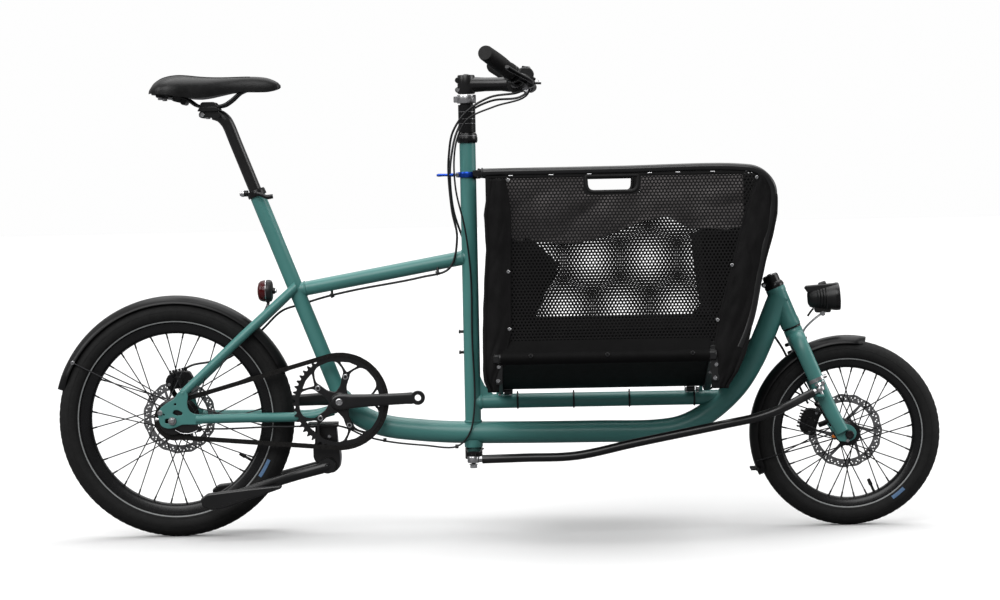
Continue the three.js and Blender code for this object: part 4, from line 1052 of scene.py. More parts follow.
# ---- steering rod -------------------------------------------------------------------------------
rod_line = line((669, -82, 164), (760, -86, 166), (870, -93, 169), (1000, -108, 196), (1180, -128, 232),
                (1262, -134, 249), (1312, -131, 266), (1362, -105, 288), (1379, -96, 295), per=8)
shank = [sweep(rod_line, 0.0094, 28)]
eyes = [revolve([(0.0072, -0.0068), (0.0125, -0.0068), (0.0132, -0.005), (0.0132, 0.005), (0.0125, 0.0068),
                 (0.0072, 0.0068)],
                P(650, -82, 164), Z, 32),
        rod(P(661, -82, 164), P(690, -83, 164.5), 0.0068, 6), rod(P(686, -83, 164.4), P(700, -83.4, 164.6), 0.0088,
                                                                  20, bevel=0.001),
        revolve([(0.0062, -0.0046), (0.0105, -0.0046), (0.0112, -0.003), (0.0112, 0.003), (0.0105, 0.0046),
                 (0.0062, 0.0046)],
                FRONT_BALL, HEAD, 32),
        rod(P(1386, -92, 298), P(1374, -99, 293), 0.0058, 6)]
piece("steering_rod_tube", shank, SATIN, "steering_rod", "steering_rod", angle=60)
piece("steering_rod_ends", eyes, STEEL, "steering_rod")
piece("front_ball_stud", [rod(FRONT_BALL - HEAD * 0.013, FRONT_BALL + HEAD * 0.0135, 0.0039, 18),
                          revolve([(0, 0.009), (0.0072, 0.009), (0.0072, 0.0135), (0.006, 0.0142), (0, 0.0142)],
                                  FRONT_BALL, HEAD, 6)],
      CHROME, "fork")
arm_line = [P(650, 8, 179), P(650, -40, 179), P(650, -86, 179)]
steer_arm = [sweep(arm_line, [0.0205, 0.0165, 0.0125], 24, flat=0.22, up=(0, 0, 1))]
steerer = [rod(P(COLUMN_X, 0, 158), P(COLUMN_X, 0, 950), 0.0141, 36), rod(P(COLUMN_X, 0, 158), P(COLUMN_X, 0, 183),
                                                                          0.0188, 36, bevel=0.0012),
           rod(P(650, -82, 176), P(650, -82, 150), 0.0050, 18)]
piece("steerer_tube", steerer + steer_arm, ANODISED, "handlebar_column", "steerer")
piece("rear_ball_nut",
      [revolve([(0, 0), (0.0080, 0), (0.0080, 0.006), (0.0066, 0.0072), (0, 0.0072)], P(650, -82, 145.5), Z, 6),
                        revolve([(0, 0), (0.0095, 0), (0.0095, 0.0012), (0, 0.0012)], P(650, -82, 153), Z, 24),
                        bolt(P(COLUMN_X, 0, 158), -Z, 0.008, 0.004)], CHROME, "handlebar_column")

# ---- centre stand -------------------------------------------------------------------------------
pivot = P(331, 0, 152)
bracket = [slab([rounded([(286, 234.5), (352, 234.5), (352, 243), (286, 243)], 2)], -30, 30, 1.5),
           slab([rounded([(304, 240), (349, 240), (352, 200), (350, 150), (300, 160), (302, 200)], 5)], -16, 16, 2.5),
           slab([rounded([(299, 196), (299, 166), (313, 150), (322, 137), (342, 134), (355, 144), (358, 166),
                          (355, 196)], 7)],
                -25.5, 25.5, 3.0),
           rod(pivot - Y * 0.0262, pivot + Y * 0.0262, 0.0178, 40, bevel=0.0015)]
piece("stand_block", bracket, SATIN, "frame", "stand_bracket")
legs = []
for s in (1, -1):
    legs.append(rod(P(331, s * 27, 152), P(331, s * 42.5, 152), 0.0172, 36, bevel=0.0015))
    legs.append(sweep(line((331, s * 35, 150), (262, s * 46, 133), (200, s * 72, 116), (120, s * 97, 92), per=8),
                      [0.0125, 0.0118, 0.0110, 0.0100], 24, flat=0.8))
    foot_outline = rounded([(62, 92), (66, 74), (84, 67), (112, 70), (236, 111), (236, 118), (168, 112), (104, 105),
                            (76, 102)], 4, 4)
    legs.append(slab([foot_outline], s * 97 - 13.5, s * 97 + 13.5, 3.0))
    for k in range(5):
        x = 88 + 17 * k
        legs.append(box((x, s * 97 - 14.2, 69.0 + 4.6 * k), (x + 6, s * 97 + 14.2, 73.5 + 4.6 * k)))
piece("stand_legs_cast", legs, SATIN, "stand", "stand_legs", angle=45)
piece("stand_screws", [bolt(P(331, -42.5, 152), -Y, 0.006, 0.003), bolt(P(331, 42.5, 152), Y, 0.006, 0.003)], SATIN,
      "stand")
piece("stand_clamp_bolt", [bolt(P(319, 0, 234.5), -Z, 0.0045, 0.004), bolt(P(334, -16, 214), -Y, 0.004, 0.003)],
      CHROME, "frame")

# ---- lights -------------------------------------------------------------------------------------
lamp_axis = (P(1448, 0, 497) - P(1382, 0, 493)).normalized()
lamp_base = P(1379, 0, 493)
body_profile = [(0, 0.0), (0.012, 0.0005), (0.0185, 0.004), (0.0215, 0.012), (0.0245, 0.030), (0.0275, 0.046),
                (0.0298, 0.058), (0.0300, 0.0665), (0.0285, 0.0680), (0.0270, 0.0680), (0.0265, 0.060)]
lamp = [revolve(body_profile, lamp_base, lamp_axis, 48)]
for k in range(4):
    lamp.append(revolve([(0.0225 + 0.0014 * k, 0.020 + 0.006 * k), (0.0244 + 0.0016 * k, 0.0215 + 0.006 * k),
                         (0.0238 + 0.0015 * k, 0.023 + 0.006 * k)], lamp_base, lamp_axis, 48))
lamp.append(slab([rounded([(1396, 462.5), (1428, 462.5), (1431, 474), (1424, 481), (1398, 481), (1393, 472)], 3)], -9,
                 9, 1.5))
lamp.append(sweep([P(1392, 0, 472), P(1386, 0, 465), P(1379, 0, 455)], 0.0022, 12))
lamp.append(slab([rounded([(1373, 516), (1380, 506), (1444, 514), (1446, 524), (1440, 526), (1376, 521)], 2.5)], -15,
                 15, 2.0))
lamp.append(rod(P(1404, 0, 521), P(1420, 0, 526), 0.0062, 20, bevel=0.002))
piece("headlight_housing", lamp, PLASTIC, "headlight", "headlight", angle=40)
piece("headlight_reflector", [revolve([(0, 0.040), (0.010, 0.0415), (0.019, 0.047), (0.0262, 0.0600)], lamp_base,
                                      lamp_axis, 48)],
      CHROME, "headlight")
piece("headlight_glass", [revolve([(0, 0.0705), (0.012, 0.0700), (0.022, 0.0685), (0.0268, 0.0662), (0.0268, 0.0640),
                                   (0.020, 0.0655), (0, 0.0670)], lamp_base, lamp_axis, 48)], CLEAR, "headlight")
piece("headlight_rim",
      [revolve([(0.0268, 0.0660), (0.0275, 0.0700), (0.0298, 0.0690), (0.0304, 0.0650), (0.0300, 0.0600)],
                                lamp_base, lamp_axis, 48)], ANODISED, "headlight")
piece("headlight_pivot", [rod(P(1411, -11, 461), P(1411, 11, 461), 0.0042, 18, bevel=0.0008),
                          bolt(P(1411, -11, 461), -Y, 0.0055, 0.003)],
      CHROME, "headlight")
wires = [sweep(line((1368, -6, 409), (1370, -6, 424), (1388, -7, 444), (1409, -7, 460)), 0.0017, 12),
         sweep(line((1368, 6, 409), (1370, 6, 424), (1388, 7, 444), (1409, 7, 460)), 0.0017, 12),
         rod(P(1362, 0, 408), P(1374, 0, 405), 0.0062, 16, bevel=0.001)]
piece("headlight_wire_arms", wires, STEEL, "fork", "headlight_bracket")
piece("crown_bolt", [bolt(P(1372, 0, 405.5), Vector((0.93, 0, -0.2)), 0.006, 0.004)], ANODISED, "fork")

rear_lamp = [revolve([(0, 0.0), (0.018, 0.0), (0.0228, 0.002), (0.0243, 0.006), (0.0247, 0.0115), (0.0238, 0.0130),
                      (0.022, 0.0132)],
                     REAR_LAMP, -X, 44),
             rod(P(213, 0, 533), P(222, 0, 533), 0.007, 20, bevel=0.0015),
             slab([rounded([(196, 555), (212, 555), (216, 548), (192, 548)], 2)], -7, 7, 1.0),
             sweep(line((208, 0, 517), (204, 0, 500), (196, 0, 486), (188, 0, 477)), 0.0032, 14)]
piece("rear_light_back", rear_lamp, PLASTIC, "frame")
red = [revolve([(0, 0.0325), (0.010, 0.0320), (0.0175, 0.0300), (0.0215, 0.0260), (0.0232, 0.0200), (0.0236, 0.0130),
                (0, 0.0130)],
               REAR_LAMP, -X, 44)]
for k in range(3):
    red.append(revolve([(0.0225 - 0.0006 * k, 0.0160 + 0.0032 * k), (0.0243 - 0.0008 * k, 0.0170 + 0.0032 * k),
                        (0.0225 - 0.0006 * k, 0.0180 + 0.0032 * k)], REAR_LAMP, -X, 44))
piece("rear_light_lens", red, RED, "frame", "rear_light", angle=40)
trim_ring = revolve([(0.0236, 0.0126), (0.0250, 0.0128), (0.0252, 0.0142), (0.0236, 0.0146)], REAR_LAMP, -X, 44)
piece("rear_light_trim", [trim_ring, rod(P(199, 0, 556), P(209, 0, 556), 0.0030, 14, bevel=0.0006)], CHROME, "frame")
piece("rear_light_screw", [bolt(P(206, -3, 500), -Y, 0.004, 0.003), bolt(P(222, 0, 533), X, 0.0045, 0.003)], CHROME,
      "frame")

# ---- seatpost and saddle ------------------------------------------------------------------------
post = [sweep(path([seat_at(330), seat_at(470), seat_at(600), seat_at(648), P(122, 0, 906), P(112, 0, 915),
                    P(96, 0, 920)], 10),
              [0.0135, 0.0135, 0.0135, 0.0136, 0.0140, 0.0135, 0.0120], 36),
        slab([rounded([(66, 914), (112, 911), (117, 920), (106, 928), (70, 928)], 4)], -21, 21, 2.0),
        rod(P(74, -20, 919), P(74, 20, 919), 0.0075, 22, bevel=0.001)]
for s in (1, -1):
    lower = rounded([(64, 926), (110, 926), (112, 932), (104, 936), (70, 936)], 3)
    post.append(slab([lower], s * 22 - 6, s * 22 + 6, 1.2))
    post.append(slab([rounded([(68, 935.5), (108, 935.5), (102, 946), (74, 946)], 4)], s * 22 - 6.5, s * 22 + 6.5,
                     1.5))
piece("seatpost_tube", post, SATIN, "seatpost", "seatpost", angle=50)
piece("seatpost_clamp_bolts", [bolt(P(74, -20, 919), -Y, 0.0055, 0.0035), bolt(P(74, 20, 919), Y, 0.0055, 0.0035),
                               bolt(P(84, -8, 914), -Z, 0.0045, 0.004), bolt(P(84, 8, 914), -Z, 0.0045, 0.004)],
      STEEL, "seatpost")
rails = []
for s in (1, -1):
    rails.append(sweep(line((-4, s * 30, 964), (22, s * 27, 959), (44, s * 23, 951), (60, s * 22, 940),
                            (74, s * 22, 936),
                            (106, s * 22, 936), (122, s * 22, 939), (138, s * 19, 949), (156, s * 14, 964),
                            (176, s * 9, 972)), 0.0035, 16))
rails.append(sweep(line((176, -9, 972), (182, 0, 974), (176, 9, 972)), 0.0035, 14))
piece("saddle_rails", rails, ANODISED, "seatpost")


def saddle_shell():
    """A lofted saddle: wide dished tail, waist and long nose, with sides that roll under."""
    # station, half width, crown height, edge height, groove
    table = [(-41, 20, 970, 965, 0), (-38, 44, 977, 965, 0), (-29, 62, 989, 965, 1.0), (-12, 74, 1000, 963, 2.0),
             (6, 77, 1005, 962, 2.6), (26, 74, 1007, 958, 3.0), (46, 66, 1005.5, 955, 3.0),
             (66, 55, 1003, 953.5, 2.6),
             (88, 44, 1001, 955.5, 2.0), (112, 34, 1000, 960, 1.5), (138, 27, 1000, 965, 1.0),
             (164, 23, 1000.5, 967, 0.6),
             (190, 21, 1000, 966, 0.3), (214, 19.5, 997, 966, 0.0), (230, 17, 991, 969, 0.0),
             (240, 12, 985, 972, 0.0),
             (244, 5, 979, 975, 0.0)]
    n = 28
    xs = np.linspace(0, len(table) - 1, 66)
    cols = [np.interp(xs, range(len(table)), [t[c] for t in table]) for c in range(5)]
    kernel = np.array([1, 2, 1]) / 4
    for c in range(5):
        smooth = cols[c].copy()
        for _ in range(2):
            smooth[1:-1] = np.convolve(smooth, kernel, "valid")
        cols[c] = smooth
    verts, faces = [], []
    for x, w, top_, edge_, groove in zip(*cols):
        for k in range(n):
            a = math.pi * k / (n - 1)
            across = math.cos(a)
            lift = math.sin(a) ** 0.72
            y = w * (abs(across) ** 0.86) * (1 if across > 0 else -1)
            z = edge_ + (top_ - edge_) * lift
            z -= groove * math.exp(-(y / 7.0) ** 2)
            verts.append(P(x, y, z))
        for k in range(n):  # underside, tucked in
            t = k / (n - 1)
            y = -w * (1 - 2 * t) * 0.90
            dip = 5.0 * (1 - (1 - 2 * t) ** 2)
            verts.append(P(x, y, edge_ + 1.0 + dip))
    m = 2 * n
    for i in range(len(xs) - 1):
        for k in range(m):
            q = (k + 1) % m
            faces.append((i * m + k, i * m + q, (i + 1) * m + q, (i + 1) * m + k))
    faces.append(tuple(range(m)))
    faces.append(tuple(range((len(xs) - 1) * m, len(xs) * m)))
    return (verts, faces), cols


shell_shape, cols = saddle_shell()
saddle = piece("saddle_padding", [shell_shape], SADDLE, "seatpost", "saddle", angle=75)
seams = []
for s in (1, -1):
    pts = [P(x, s * w * 0.955, e + (t_ - e) * 0.20) for x, w, t_, e, g in list(zip(*cols))[3:-5]]
    seams.append(sweep(pts, 0.0007, 8))
    pts = [P(x, s * w * 0.40, e + (t_ - e) * 0.962 + 0.35) for x, w, t_, e, g in list(zip(*cols))[6:-18]]
    seams.append(sweep(pts, 0.0006, 8))
piece("saddle_seams", seams, RUBBER, "seatpost")
under = [slab([rounded([(-26, 958), (22, 951), (40, 956), (40, 966), (-26, 970)], 4)], -26, 26, 3),
         slab([rounded([(-4, 974), (0, 958), (12, 949), (30, 945), (44, 952), (50, 974)], 5)], -25, 25, 3),
         rod(P(34, -27, 947), P(34, 27, 947), 0.0062, 20, bevel=0.001),
         slab([rounded([(180, 968), (226, 970), (222, 978), (180, 978)], 4)], -12, 12, 2)]
piece("saddle_base", under, PLASTIC, "seatpost")
piece("saddle_base_studs", [rod(P(x, y, 958), P(x, y, 952), 0.0055, 18, bevel=0.001) for x in (-14, 8)
                            for y in (-34, 34)],
      STEEL, "seatpost")

# ---- handlebar, stem and controls ---------------------------------------------------------------
spacer_shapes = []
z = 0.8680
for h in (0.020, 0.010, 0.0155, 0.0155):
    spacer_shapes.append(revolve([(0.0145, z), (0.0182, z), (0.0187, z + 0.0006), (0.0187, z + h - 0.0010),
                                  (0.0182, z + h - 0.0004),
                                  (0.0145, z + h - 0.0004)], COLUMN_FOOT, Z, 44))
    z += h
piece("column_spacers", spacer_shapes, ANODISED, "handlebar_column")
# thin bright steel rings at the joins of the black spacers: painted highlights standing in for glints on their edges
spacer_glint_rings = [revolve([(0.0180, z), (0.0189, z), (0.0189, z + 0.0007), (0.0180, z + 0.0007)], COLUMN_FOOT, Z, 40)
                for z in (0.8877, 0.8977, 0.9132)]
piece("column_spacer_glint_rings", spacer_glint_rings, STEEL, "handlebar_column")
piece("column_clamp_ring",
      [revolve([(0.0145, 0.9320), (0.0200, 0.9320), (0.0206, 0.9330), (0.0206, 0.9488), (0.0200, 0.9500),
                                     (0.0145, 0.9500)], COLUMN_FOOT, Z, 44),
                            slab([rounded([(620, 934), (632, 934), (632, 948), (620, 948)], 2)], -7, 7, 1.0)],
      STEEL, "handlebar_column", angle=35)
stem = [revolve([(0.0143, 0.9522), (0.0178, 0.9522), (0.0190, 0.9540), (0.0190, 0.9900), (0.0178, 0.9930),
                 (0.0060, 0.9938),
                 (0, 0.9938)], COLUMN_FOOT, Z, 44),
        sweep([P(652, 0, 972), P(690, 0, 972), P(724, 0, 972), P(744, 0, 972)], [0.0175, 0.0150, 0.0148, 0.0178], 36,
              flat=1.0),
        revolve([(0.0121, -0.0228), (0.0185, -0.0228), (0.0198, -0.0215), (0.0198, 0.0215), (0.0185, 0.0228),
                 (0.0121, 0.0228)],
                P(755, 0, 972), Y, 40)]
for zz in (961, 982):
    stem.append(rod(P(630, -10, zz), P(630, 10, zz), 0.0062, 22, bevel=0.001))
for yy in (-15, 15):
    for zz in (958, 986):
        stem.append(rod(P(770, yy, zz), P(748, yy, zz), 0.0045, 18, bevel=0.0008))
piece("stem_forging", stem, SATIN, "handlebar_column", "stem", angle=45)
piece("stem_bolts", [bolt(P(630, -10, 961), -Y, 0.0044, 0.0035), bolt(P(630, 10, 982), Y, 0.0044, 0.0035),
                     bolt(P(COLUMN_X, 0, 993.8), Z, 0.0055, 0.0015)]
      + [bolt(P(770, yy, zz), X, 0.0038, 0.003) for yy in (-15, 15) for zz in (958, 986)], STEEL, "handlebar_column")
HALF = [(755, 45, 972), (761, 90, 976), (758, 130, 983), (746, 170, 993), (725, 225, 1008), (701, 288, 1025)]
whole = [P(x, -y, z_) for x, y, z_ in reversed(HALF)] + [P(755, 0, 972)] + [P(*p) for p in HALF]
bar_line = path(whole, 10)
bar_radii = [0.0111 + 0.0009 * math.exp(-((p.y * 1000) / 34) ** 4) for p in bar_line]
piece("handlebar_tube", [sweep(bar_line, bar_radii, 30)], SATIN, "handlebar_column", "handlebar",
      angle=60)

for name, s in (("left", 1), ("right", -1)):
    a, b = P(744, s * 173, 993.6), P(699, s * 293, 1026)
    g = path([a, P(725, s * 225, 1008), b], 60)
    radii = []
    for i, p in enumerate(g):
        t = i / (len(g) - 1)
        r = 0.0163 + 0.0010 * math.sin(math.pi * t) - 0.0006
        if 0.06 < t < 0.93:
            r += 0.0006 * (1 if i % 4 < 2 else -1)
        if t < 0.05:
            r = 0.0172
        if t > 0.95:
            r = 0.0168 - 0.03 * (t - 0.95)
        radii.append(r)
    piece(f"grip_{name}_sleeve", [sweep(g, radii, 32)], RUBBER, "handlebar_column", f"grip_{name}",
          angle=50)
    d = (P(725, s * 225, 1008) - a).normalized()
    piece(f"grip_{name}_ring",
          [revolve([(0.0122, -0.004), (0.0172, -0.004), (0.0180, -0.003), (0.0180, 0.004), (0.0122, 0.004)],
                                        a - d * 0.004, d, 36)], ANODISED, "handlebar_column")
    perch = P(751, s * 148, 988)
    along = (P(742, s * 170, 992) - P(757, s * 130, 983)).normalized()
    out = Vector((0.92, 0, -0.39)).normalized()
    master = [revolve([(0.0118, -0.0075), (0.0178, -0.0075), (0.0188, -0.006), (0.0188, 0.006), (0.0178, 0.0075),
                       (0.0118, 0.0075)],
                      perch, along, 36),
              sweep(path([perch + out * 0.014, perch + out * 0.028 - along * 0.006, P(785, s * 122, 969)], 8),
                    [0.0085, 0.0095, 0.0080], 24, flat=0.9),
              sweep([P(789, s * 138, 969), P(786, s * 118, 967), P(783, s * 104, 965)], [0.0105, 0.0112, 0.0085], 26),
              rod(P(789, s * 150, 961), P(789, s * 150, 973), 0.0072, 24, bevel=0.001),
              sweep([P(788, s * 140, 968), P(789, s * 150, 967)], [0.0085, 0.0075], 20, flat=0.8),
              rod(P(783, s * 106, 965), P(782, s * 98, 963.5), 0.0050, 20, 0.0036, 0.0006),
              rod(perch + out * 0.004 + Z * 0.016, perch + out * 0.004 + Z * 0.0195, 0.0050, 18, bevel=0.0008)]
    piece(f"brake_master_{name}_body", master, ANODISED, "handlebar_column", f"brake_master_{name}",
          angle=50)
    piece(f"brake_master_{name}_screws", [bolt(P(789, s * 150, 973), Z, 0.0040, 0.002),
                                          bolt(perch - out * 0.0165, -out, 0.0036, 0.0025),
                                          rod(P(782.5, s * 101, 964), P(782, s * 97, 963.3), 0.0056, 6)], CHROME,
          "handlebar_column")
    blade = path([P(789, s * 148, 967), P(792, s * 162, 968.5), P(788, s * 185, 972), P(776, s * 215, 978),
                  P(758, s * 250, 987),
                  P(746, s * 272, 994), P(744, s * 281, 996.5)], 8)
    piece(f"brake_lever_{name}_blade",
          [sweep(blade, [0.0062, 0.0058, 0.0052, 0.0050, 0.0052, 0.0058, 0.0060, 0.0048], 20, flat=0.75,
                                              up=(0, 0, 1))], ANODISED, f"brake_lever_{name}", f"brake_lever_{name}",
          angle=60)

shifter = [revolve([(0.0118, -0.010), (0.0150, -0.010), (0.0163, -0.008), (0.0163, 0.008), (0.0150, 0.010),
                    (0.0118, 0.010)],
                   P(759.3, -102, 977.5), Y, 36),
           slab([rounded([(764, 979), (793, 974), (798, 990), (790, 1001), (770, 1003), (762, 994)], 6)], -116, -88,
                3.0),
           rod(P(780, -102, 1000), P(781, -102, 1004), 0.0095, 30, bevel=0.001),
           sweep([P(792, -94, 980), P(799, -92, 976)], [0.0042, 0.0034], 14)]
piece("shifter_housing", shifter, PLASTIC, "handlebar_column", "shifter_body", angle=45)
piece("shifter_window", [revolve([(0, 0.0008), (0.0070, 0.0006), (0.0080, 0)], P(781, -102, 1004), Z, 30)], CLEAR,
      "handlebar_column")
piece("shifter_paddle", [sweep([P(778, -106, 969), P(792, -106, 968.6), P(804, -106, 968.2), P(812, -106, 967.6)],
                               [0.0058, 0.0050, 0.0060, 0.0052], 20, flat=0.45, up=(0, 0, 1))], PLASTIC,
      "shifter_lever", "shifter_lever",
      angle=60)
ferrules = [rod(P(783, s * 106, 960.6), P(774, s * 89, 956.7), 0.0040, 18, 0.0034, 0.0006) for s in (1, -1)]
piece("hose_ferrules", ferrules, CHROME, "handlebar_column")
guide = [sweep(line((790, -92, 972), (803, -84, 968), (809, -70, 970), (806, -58, 978)), 0.0016, 12)]
piece("cable_guide_wire", guide, CHROME, "handlebar_column")

# ---- basket mounting band -----------------------------------------------------------------------
piece("column_band_ring",
      [revolve([(0.0178, 0.7712), (0.0212, 0.7712), (0.0216, 0.7720), (0.0216, 0.7822), (0.0212, 0.7830),
                                    (0.0178, 0.7830)], COLUMN_FOOT, Z, 44),
                           slab([rounded([(622, 771.5), (634, 771.5), (634, 782.5), (622, 782.5)], 2)], -8.5, 8.5,
                                1.0)],
      BLUE, "frame", "column_band", angle=35)
piece("column_band_screws", [bolt(P(625, -8.5, 777), -Y, 0.0045, 0.004), bolt(P(625, 8.5, 777), Y, 0.0045, 0.004)],
      CHROME, "frame")
piece("band_lever_blade",
      [sweep(path([P(617, 0, 777), P(608, 0, 777), P(596, 0, 777.4), P(584, 0, 777.2), P(579.5, 0, 777)], 8),
                                 [0.0052, 0.0060, 0.0058, 0.0066, 0.0040], 24, flat=0.52, up=(0, 0, 1)),
                           rod(P(615, 0, 773.4), P(615, 0, 780.8), 0.0056, 20, bevel=0.0008)],
      BLUE, "column_band_lever", "column_band_lever", angle=60)
saddle_clip = [(0.0222, 0.768), (0.0262, 0.768), (0.0268, 0.769), (0.0268, 0.785), (0.0262, 0.786), (0.0222, 0.786)]
cross = [sweep(line((676, -275, 777), (676, -140, 777), (680, 0, 777), (676, 140, 777), (676, 275, 777)), 0.0072, 24),
         *[revolve(saddle_clip, COLUMN_FOOT, Z, 40, start=X, sweep_angle=half_turn) for half_turn in (1.15, -1.15)],
         slab([rounded([(668, 769), (684, 771), (684, 783), (668, 785)], 2)], -12, 12, 1.0)]
piece("basket_crossbar_tube", cross, SATIN, "frame", "basket_crossbar", angle=45)

# ---- basket -------------------------------------------------------------------------------------
PANEL_OUT = [(694, 406), (1214, 407), (1237, 463), (1262, 585), (1289, 713), (1290, 740), (1279, 764), (1258, 776),
             (1235, 779), (694, 779)]
SLOT = rounded([(902, 767), (904, 734), (1009, 734), (1011, 767)], [3, 22, 22, 3], 6)


def edge_distance(pts, poly):
    """Signed distance of points to a closed outline: positive inside."""
    poly = np.array(poly, float)
    nxt = np.roll(poly, -1, axis=0)
    inside = np.zeros(len(pts), bool)
    best = np.full(len(pts), 1e9)
    for (x0, z0), (x1, z1) in zip(poly, nxt):
        d = np.array([x1 - x0, z1 - z0])
        t = np.clip(((pts - (x0, z0)) @ d) / max(d @ d, 1e-9), 0, 1)
        best = np.minimum(best, np.hypot(*(pts - (np.array([x0, z0]) + t[:, None] * d)).T))
        cross = (z0 > pts[:, 1]) != (z1 > pts[:, 1])
        xs = x0 + (pts[:, 1] - z0) * (x1 - x0) / (z1 - z0 if z1 != z0 else 1e-9)
        inside ^= cross & (pts[:, 0] < xs)
    return np.where(inside, best, -best)


def perforated(name, y, body, hole_pitch, hole_radius, clear):
    """A sheet with staggered round holes, each a real hole. clear keeps them away from the slot."""
    row = hole_pitch * math.sqrt(3) / 2
    left, bottom, width, height = 694, 409, 610, 380
    centres = []
    for j in range(-1, int(height / row) + 2):
        for i in range(-1, int(width / hole_pitch) + 2):
            centres.append((left + (i + 0.5 * (j % 2)) * hole_pitch, bottom + j * row))
    centres = np.array(centres)
    keep = (edge_distance(centres, PANEL_OUT) > 4.6) & (edge_distance(centres, SLOT) < -5.2 - clear)
    centres = centres[keep]
    corner = np.radians(30 + 60 * np.arange(6))
    hole = np.radians(30 * np.arange(12))
    big = hole_pitch / math.sqrt(3)
    flat_c = centres[:, None, :] + big * np.stack([np.cos(corner), np.sin(corner)], 1)[None]
    flat_h = centres[:, None, :] + hole_radius * np.stack([np.cos(hole), np.sin(hole)], 1)[None]
    rounded_c = np.round(flat_c.reshape(-1, 2), 3)
    unique, inverse = np.unique(rounded_c, axis=0, return_inverse=True)
    inverse = inverse.reshape(-1, 6)
    m, n = len(unique), len(centres)
    flat = np.concatenate([unique, flat_h.reshape(-1, 2)])
    layers = [np.column_stack([(flat[:, 0] - MID) / 1000, np.full(len(flat), (y + o) / 1000), flat[:, 1] / 1000])
              for o in (-0.75, 0.75)]
    verts = np.concatenate(layers)
    total = len(flat)
    tris, quads = [], []
    h = m + np.arange(n)[:, None] * 12 + np.arange(12)[None]
    for i in range(6):
        c0, c1 = inverse[:, i], inverse[:, (i + 1) % 6]
        a, b, c = h[:, (2 * i + 1) % 12], h[:, (2 * i + 2) % 12], h[:, (2 * i + 3) % 12]
        for t in ((c0, c1, b), (c0, b, a), (c1, c, b)):
            tris.append(np.stack(t, 1))
            tris.append(np.stack(t[::-1], 1) + total)
    for k in range(12):
        a, b = h[:, k], h[:, (k + 1) % 12]
        quads.append(np.stack([a, b, b + total, a + total], 1))
    faces = [tuple(f) for f in np.concatenate(tris).tolist()] + [tuple(f) for f in np.concatenate(quads).tolist()]
    return piece(name, [([tuple(v) for v in verts.tolist()], faces)], PANEL, body, angle=20, recalc=False)


PANEL = surface("perforated_panel", (0.0072, 0.0068, 0.0070), 0.38, metal=0.1, spread=0.25, mottle=22.0,
                grain=(1500.0, 0.12, 0.0002), Coat_Weight=0.03, Coat_Roughness=0.3, Specular_IOR_Level=0.35)
DECK = surface("basket_deck", (0.0030, 0.0029, 0.0030), 0.66, spread=0.25, mottle=30.0, grain=(900.0, 0.2, 0.0003),
               Specular_IOR_Level=0.12)


def grid_sheet(rows, cols, place):
    """A grid of corners, with place(down, across) giving each from two shares of 0 to 1."""
    verts = [place(j / (rows - 1), i / (cols - 1)) for j in range(rows) for i in range(cols)]
    faces = [(j * cols + i, j * cols + i + 1, (j + 1) * cols + i + 1, (j + 1) * cols + i)
             for j in range(rows - 1) for i in range(cols - 1)]
    return verts, faces


def cloth_piece(name, shape, body, thick=0.0011):
    """A sheet of basket cloth with its thickness."""
    obj = piece(name, [shape], CLOTH, body, angle=80, recalc=False)
    mod = obj.modifiers.new("cloth_thickness", "SOLIDIFY")
    mod.thickness = thick
    mod.offset = 0
    return obj


def sheet_size(shape, rows, cols):
    """The cut size of a grid of cloth: its mean width, mean length and area, in metres."""
    v = np.array([tuple(p) for p in shape[0]]).reshape(rows, cols, 3)
    width = np.linalg.norm(np.diff(v, axis=1), axis=2).sum(1)
    length = np.linalg.norm(np.diff(v, axis=0), axis=2).sum(0)
    a = np.cross(v[1:, 1:] - v[:-1, :-1], v[1:, :-1] - v[:-1, 1:])
    return float(width.max()), float(length.max()), float(0.5 * np.linalg.norm(a, axis=2).sum())


def fold_noise(a, b, seed, scale=1.0):
    return noise.noise(Vector((a * scale, b * scale, seed)))


EDGE_Z = [768, 735, 691, 650, 618, 560, 514, 440, 369, 345, 328]
REAR_EDGE = [703, 697, 690, 692, 693, 688, 686, 683, 682, 684, 691]
REAR_IN = [735, 742, 746, 746, 745, 744, 743, 741, 722, 716, 714]
FRONT_OUT_Z = [768, 755, 720, 682, 640, 585, 530, 481, 430, 390, 355, 328]
FRONT_EDGE = [1270, 1284, 1297, 1296.5, 1287, 1272, 1258, 1246, 1235, 1224, 1208, 1190]
FRONT_IN = [1258, 1256, 1240, 1228, 1216, 1202, 1187, 1173, 1164, 1158, 1155, 1154]


WALL_GRID = (90, 110)
STRIP_END, TURN_END = 0.20, 0.28  # shares of the wall's width: on the outer face, then round the panel's edge


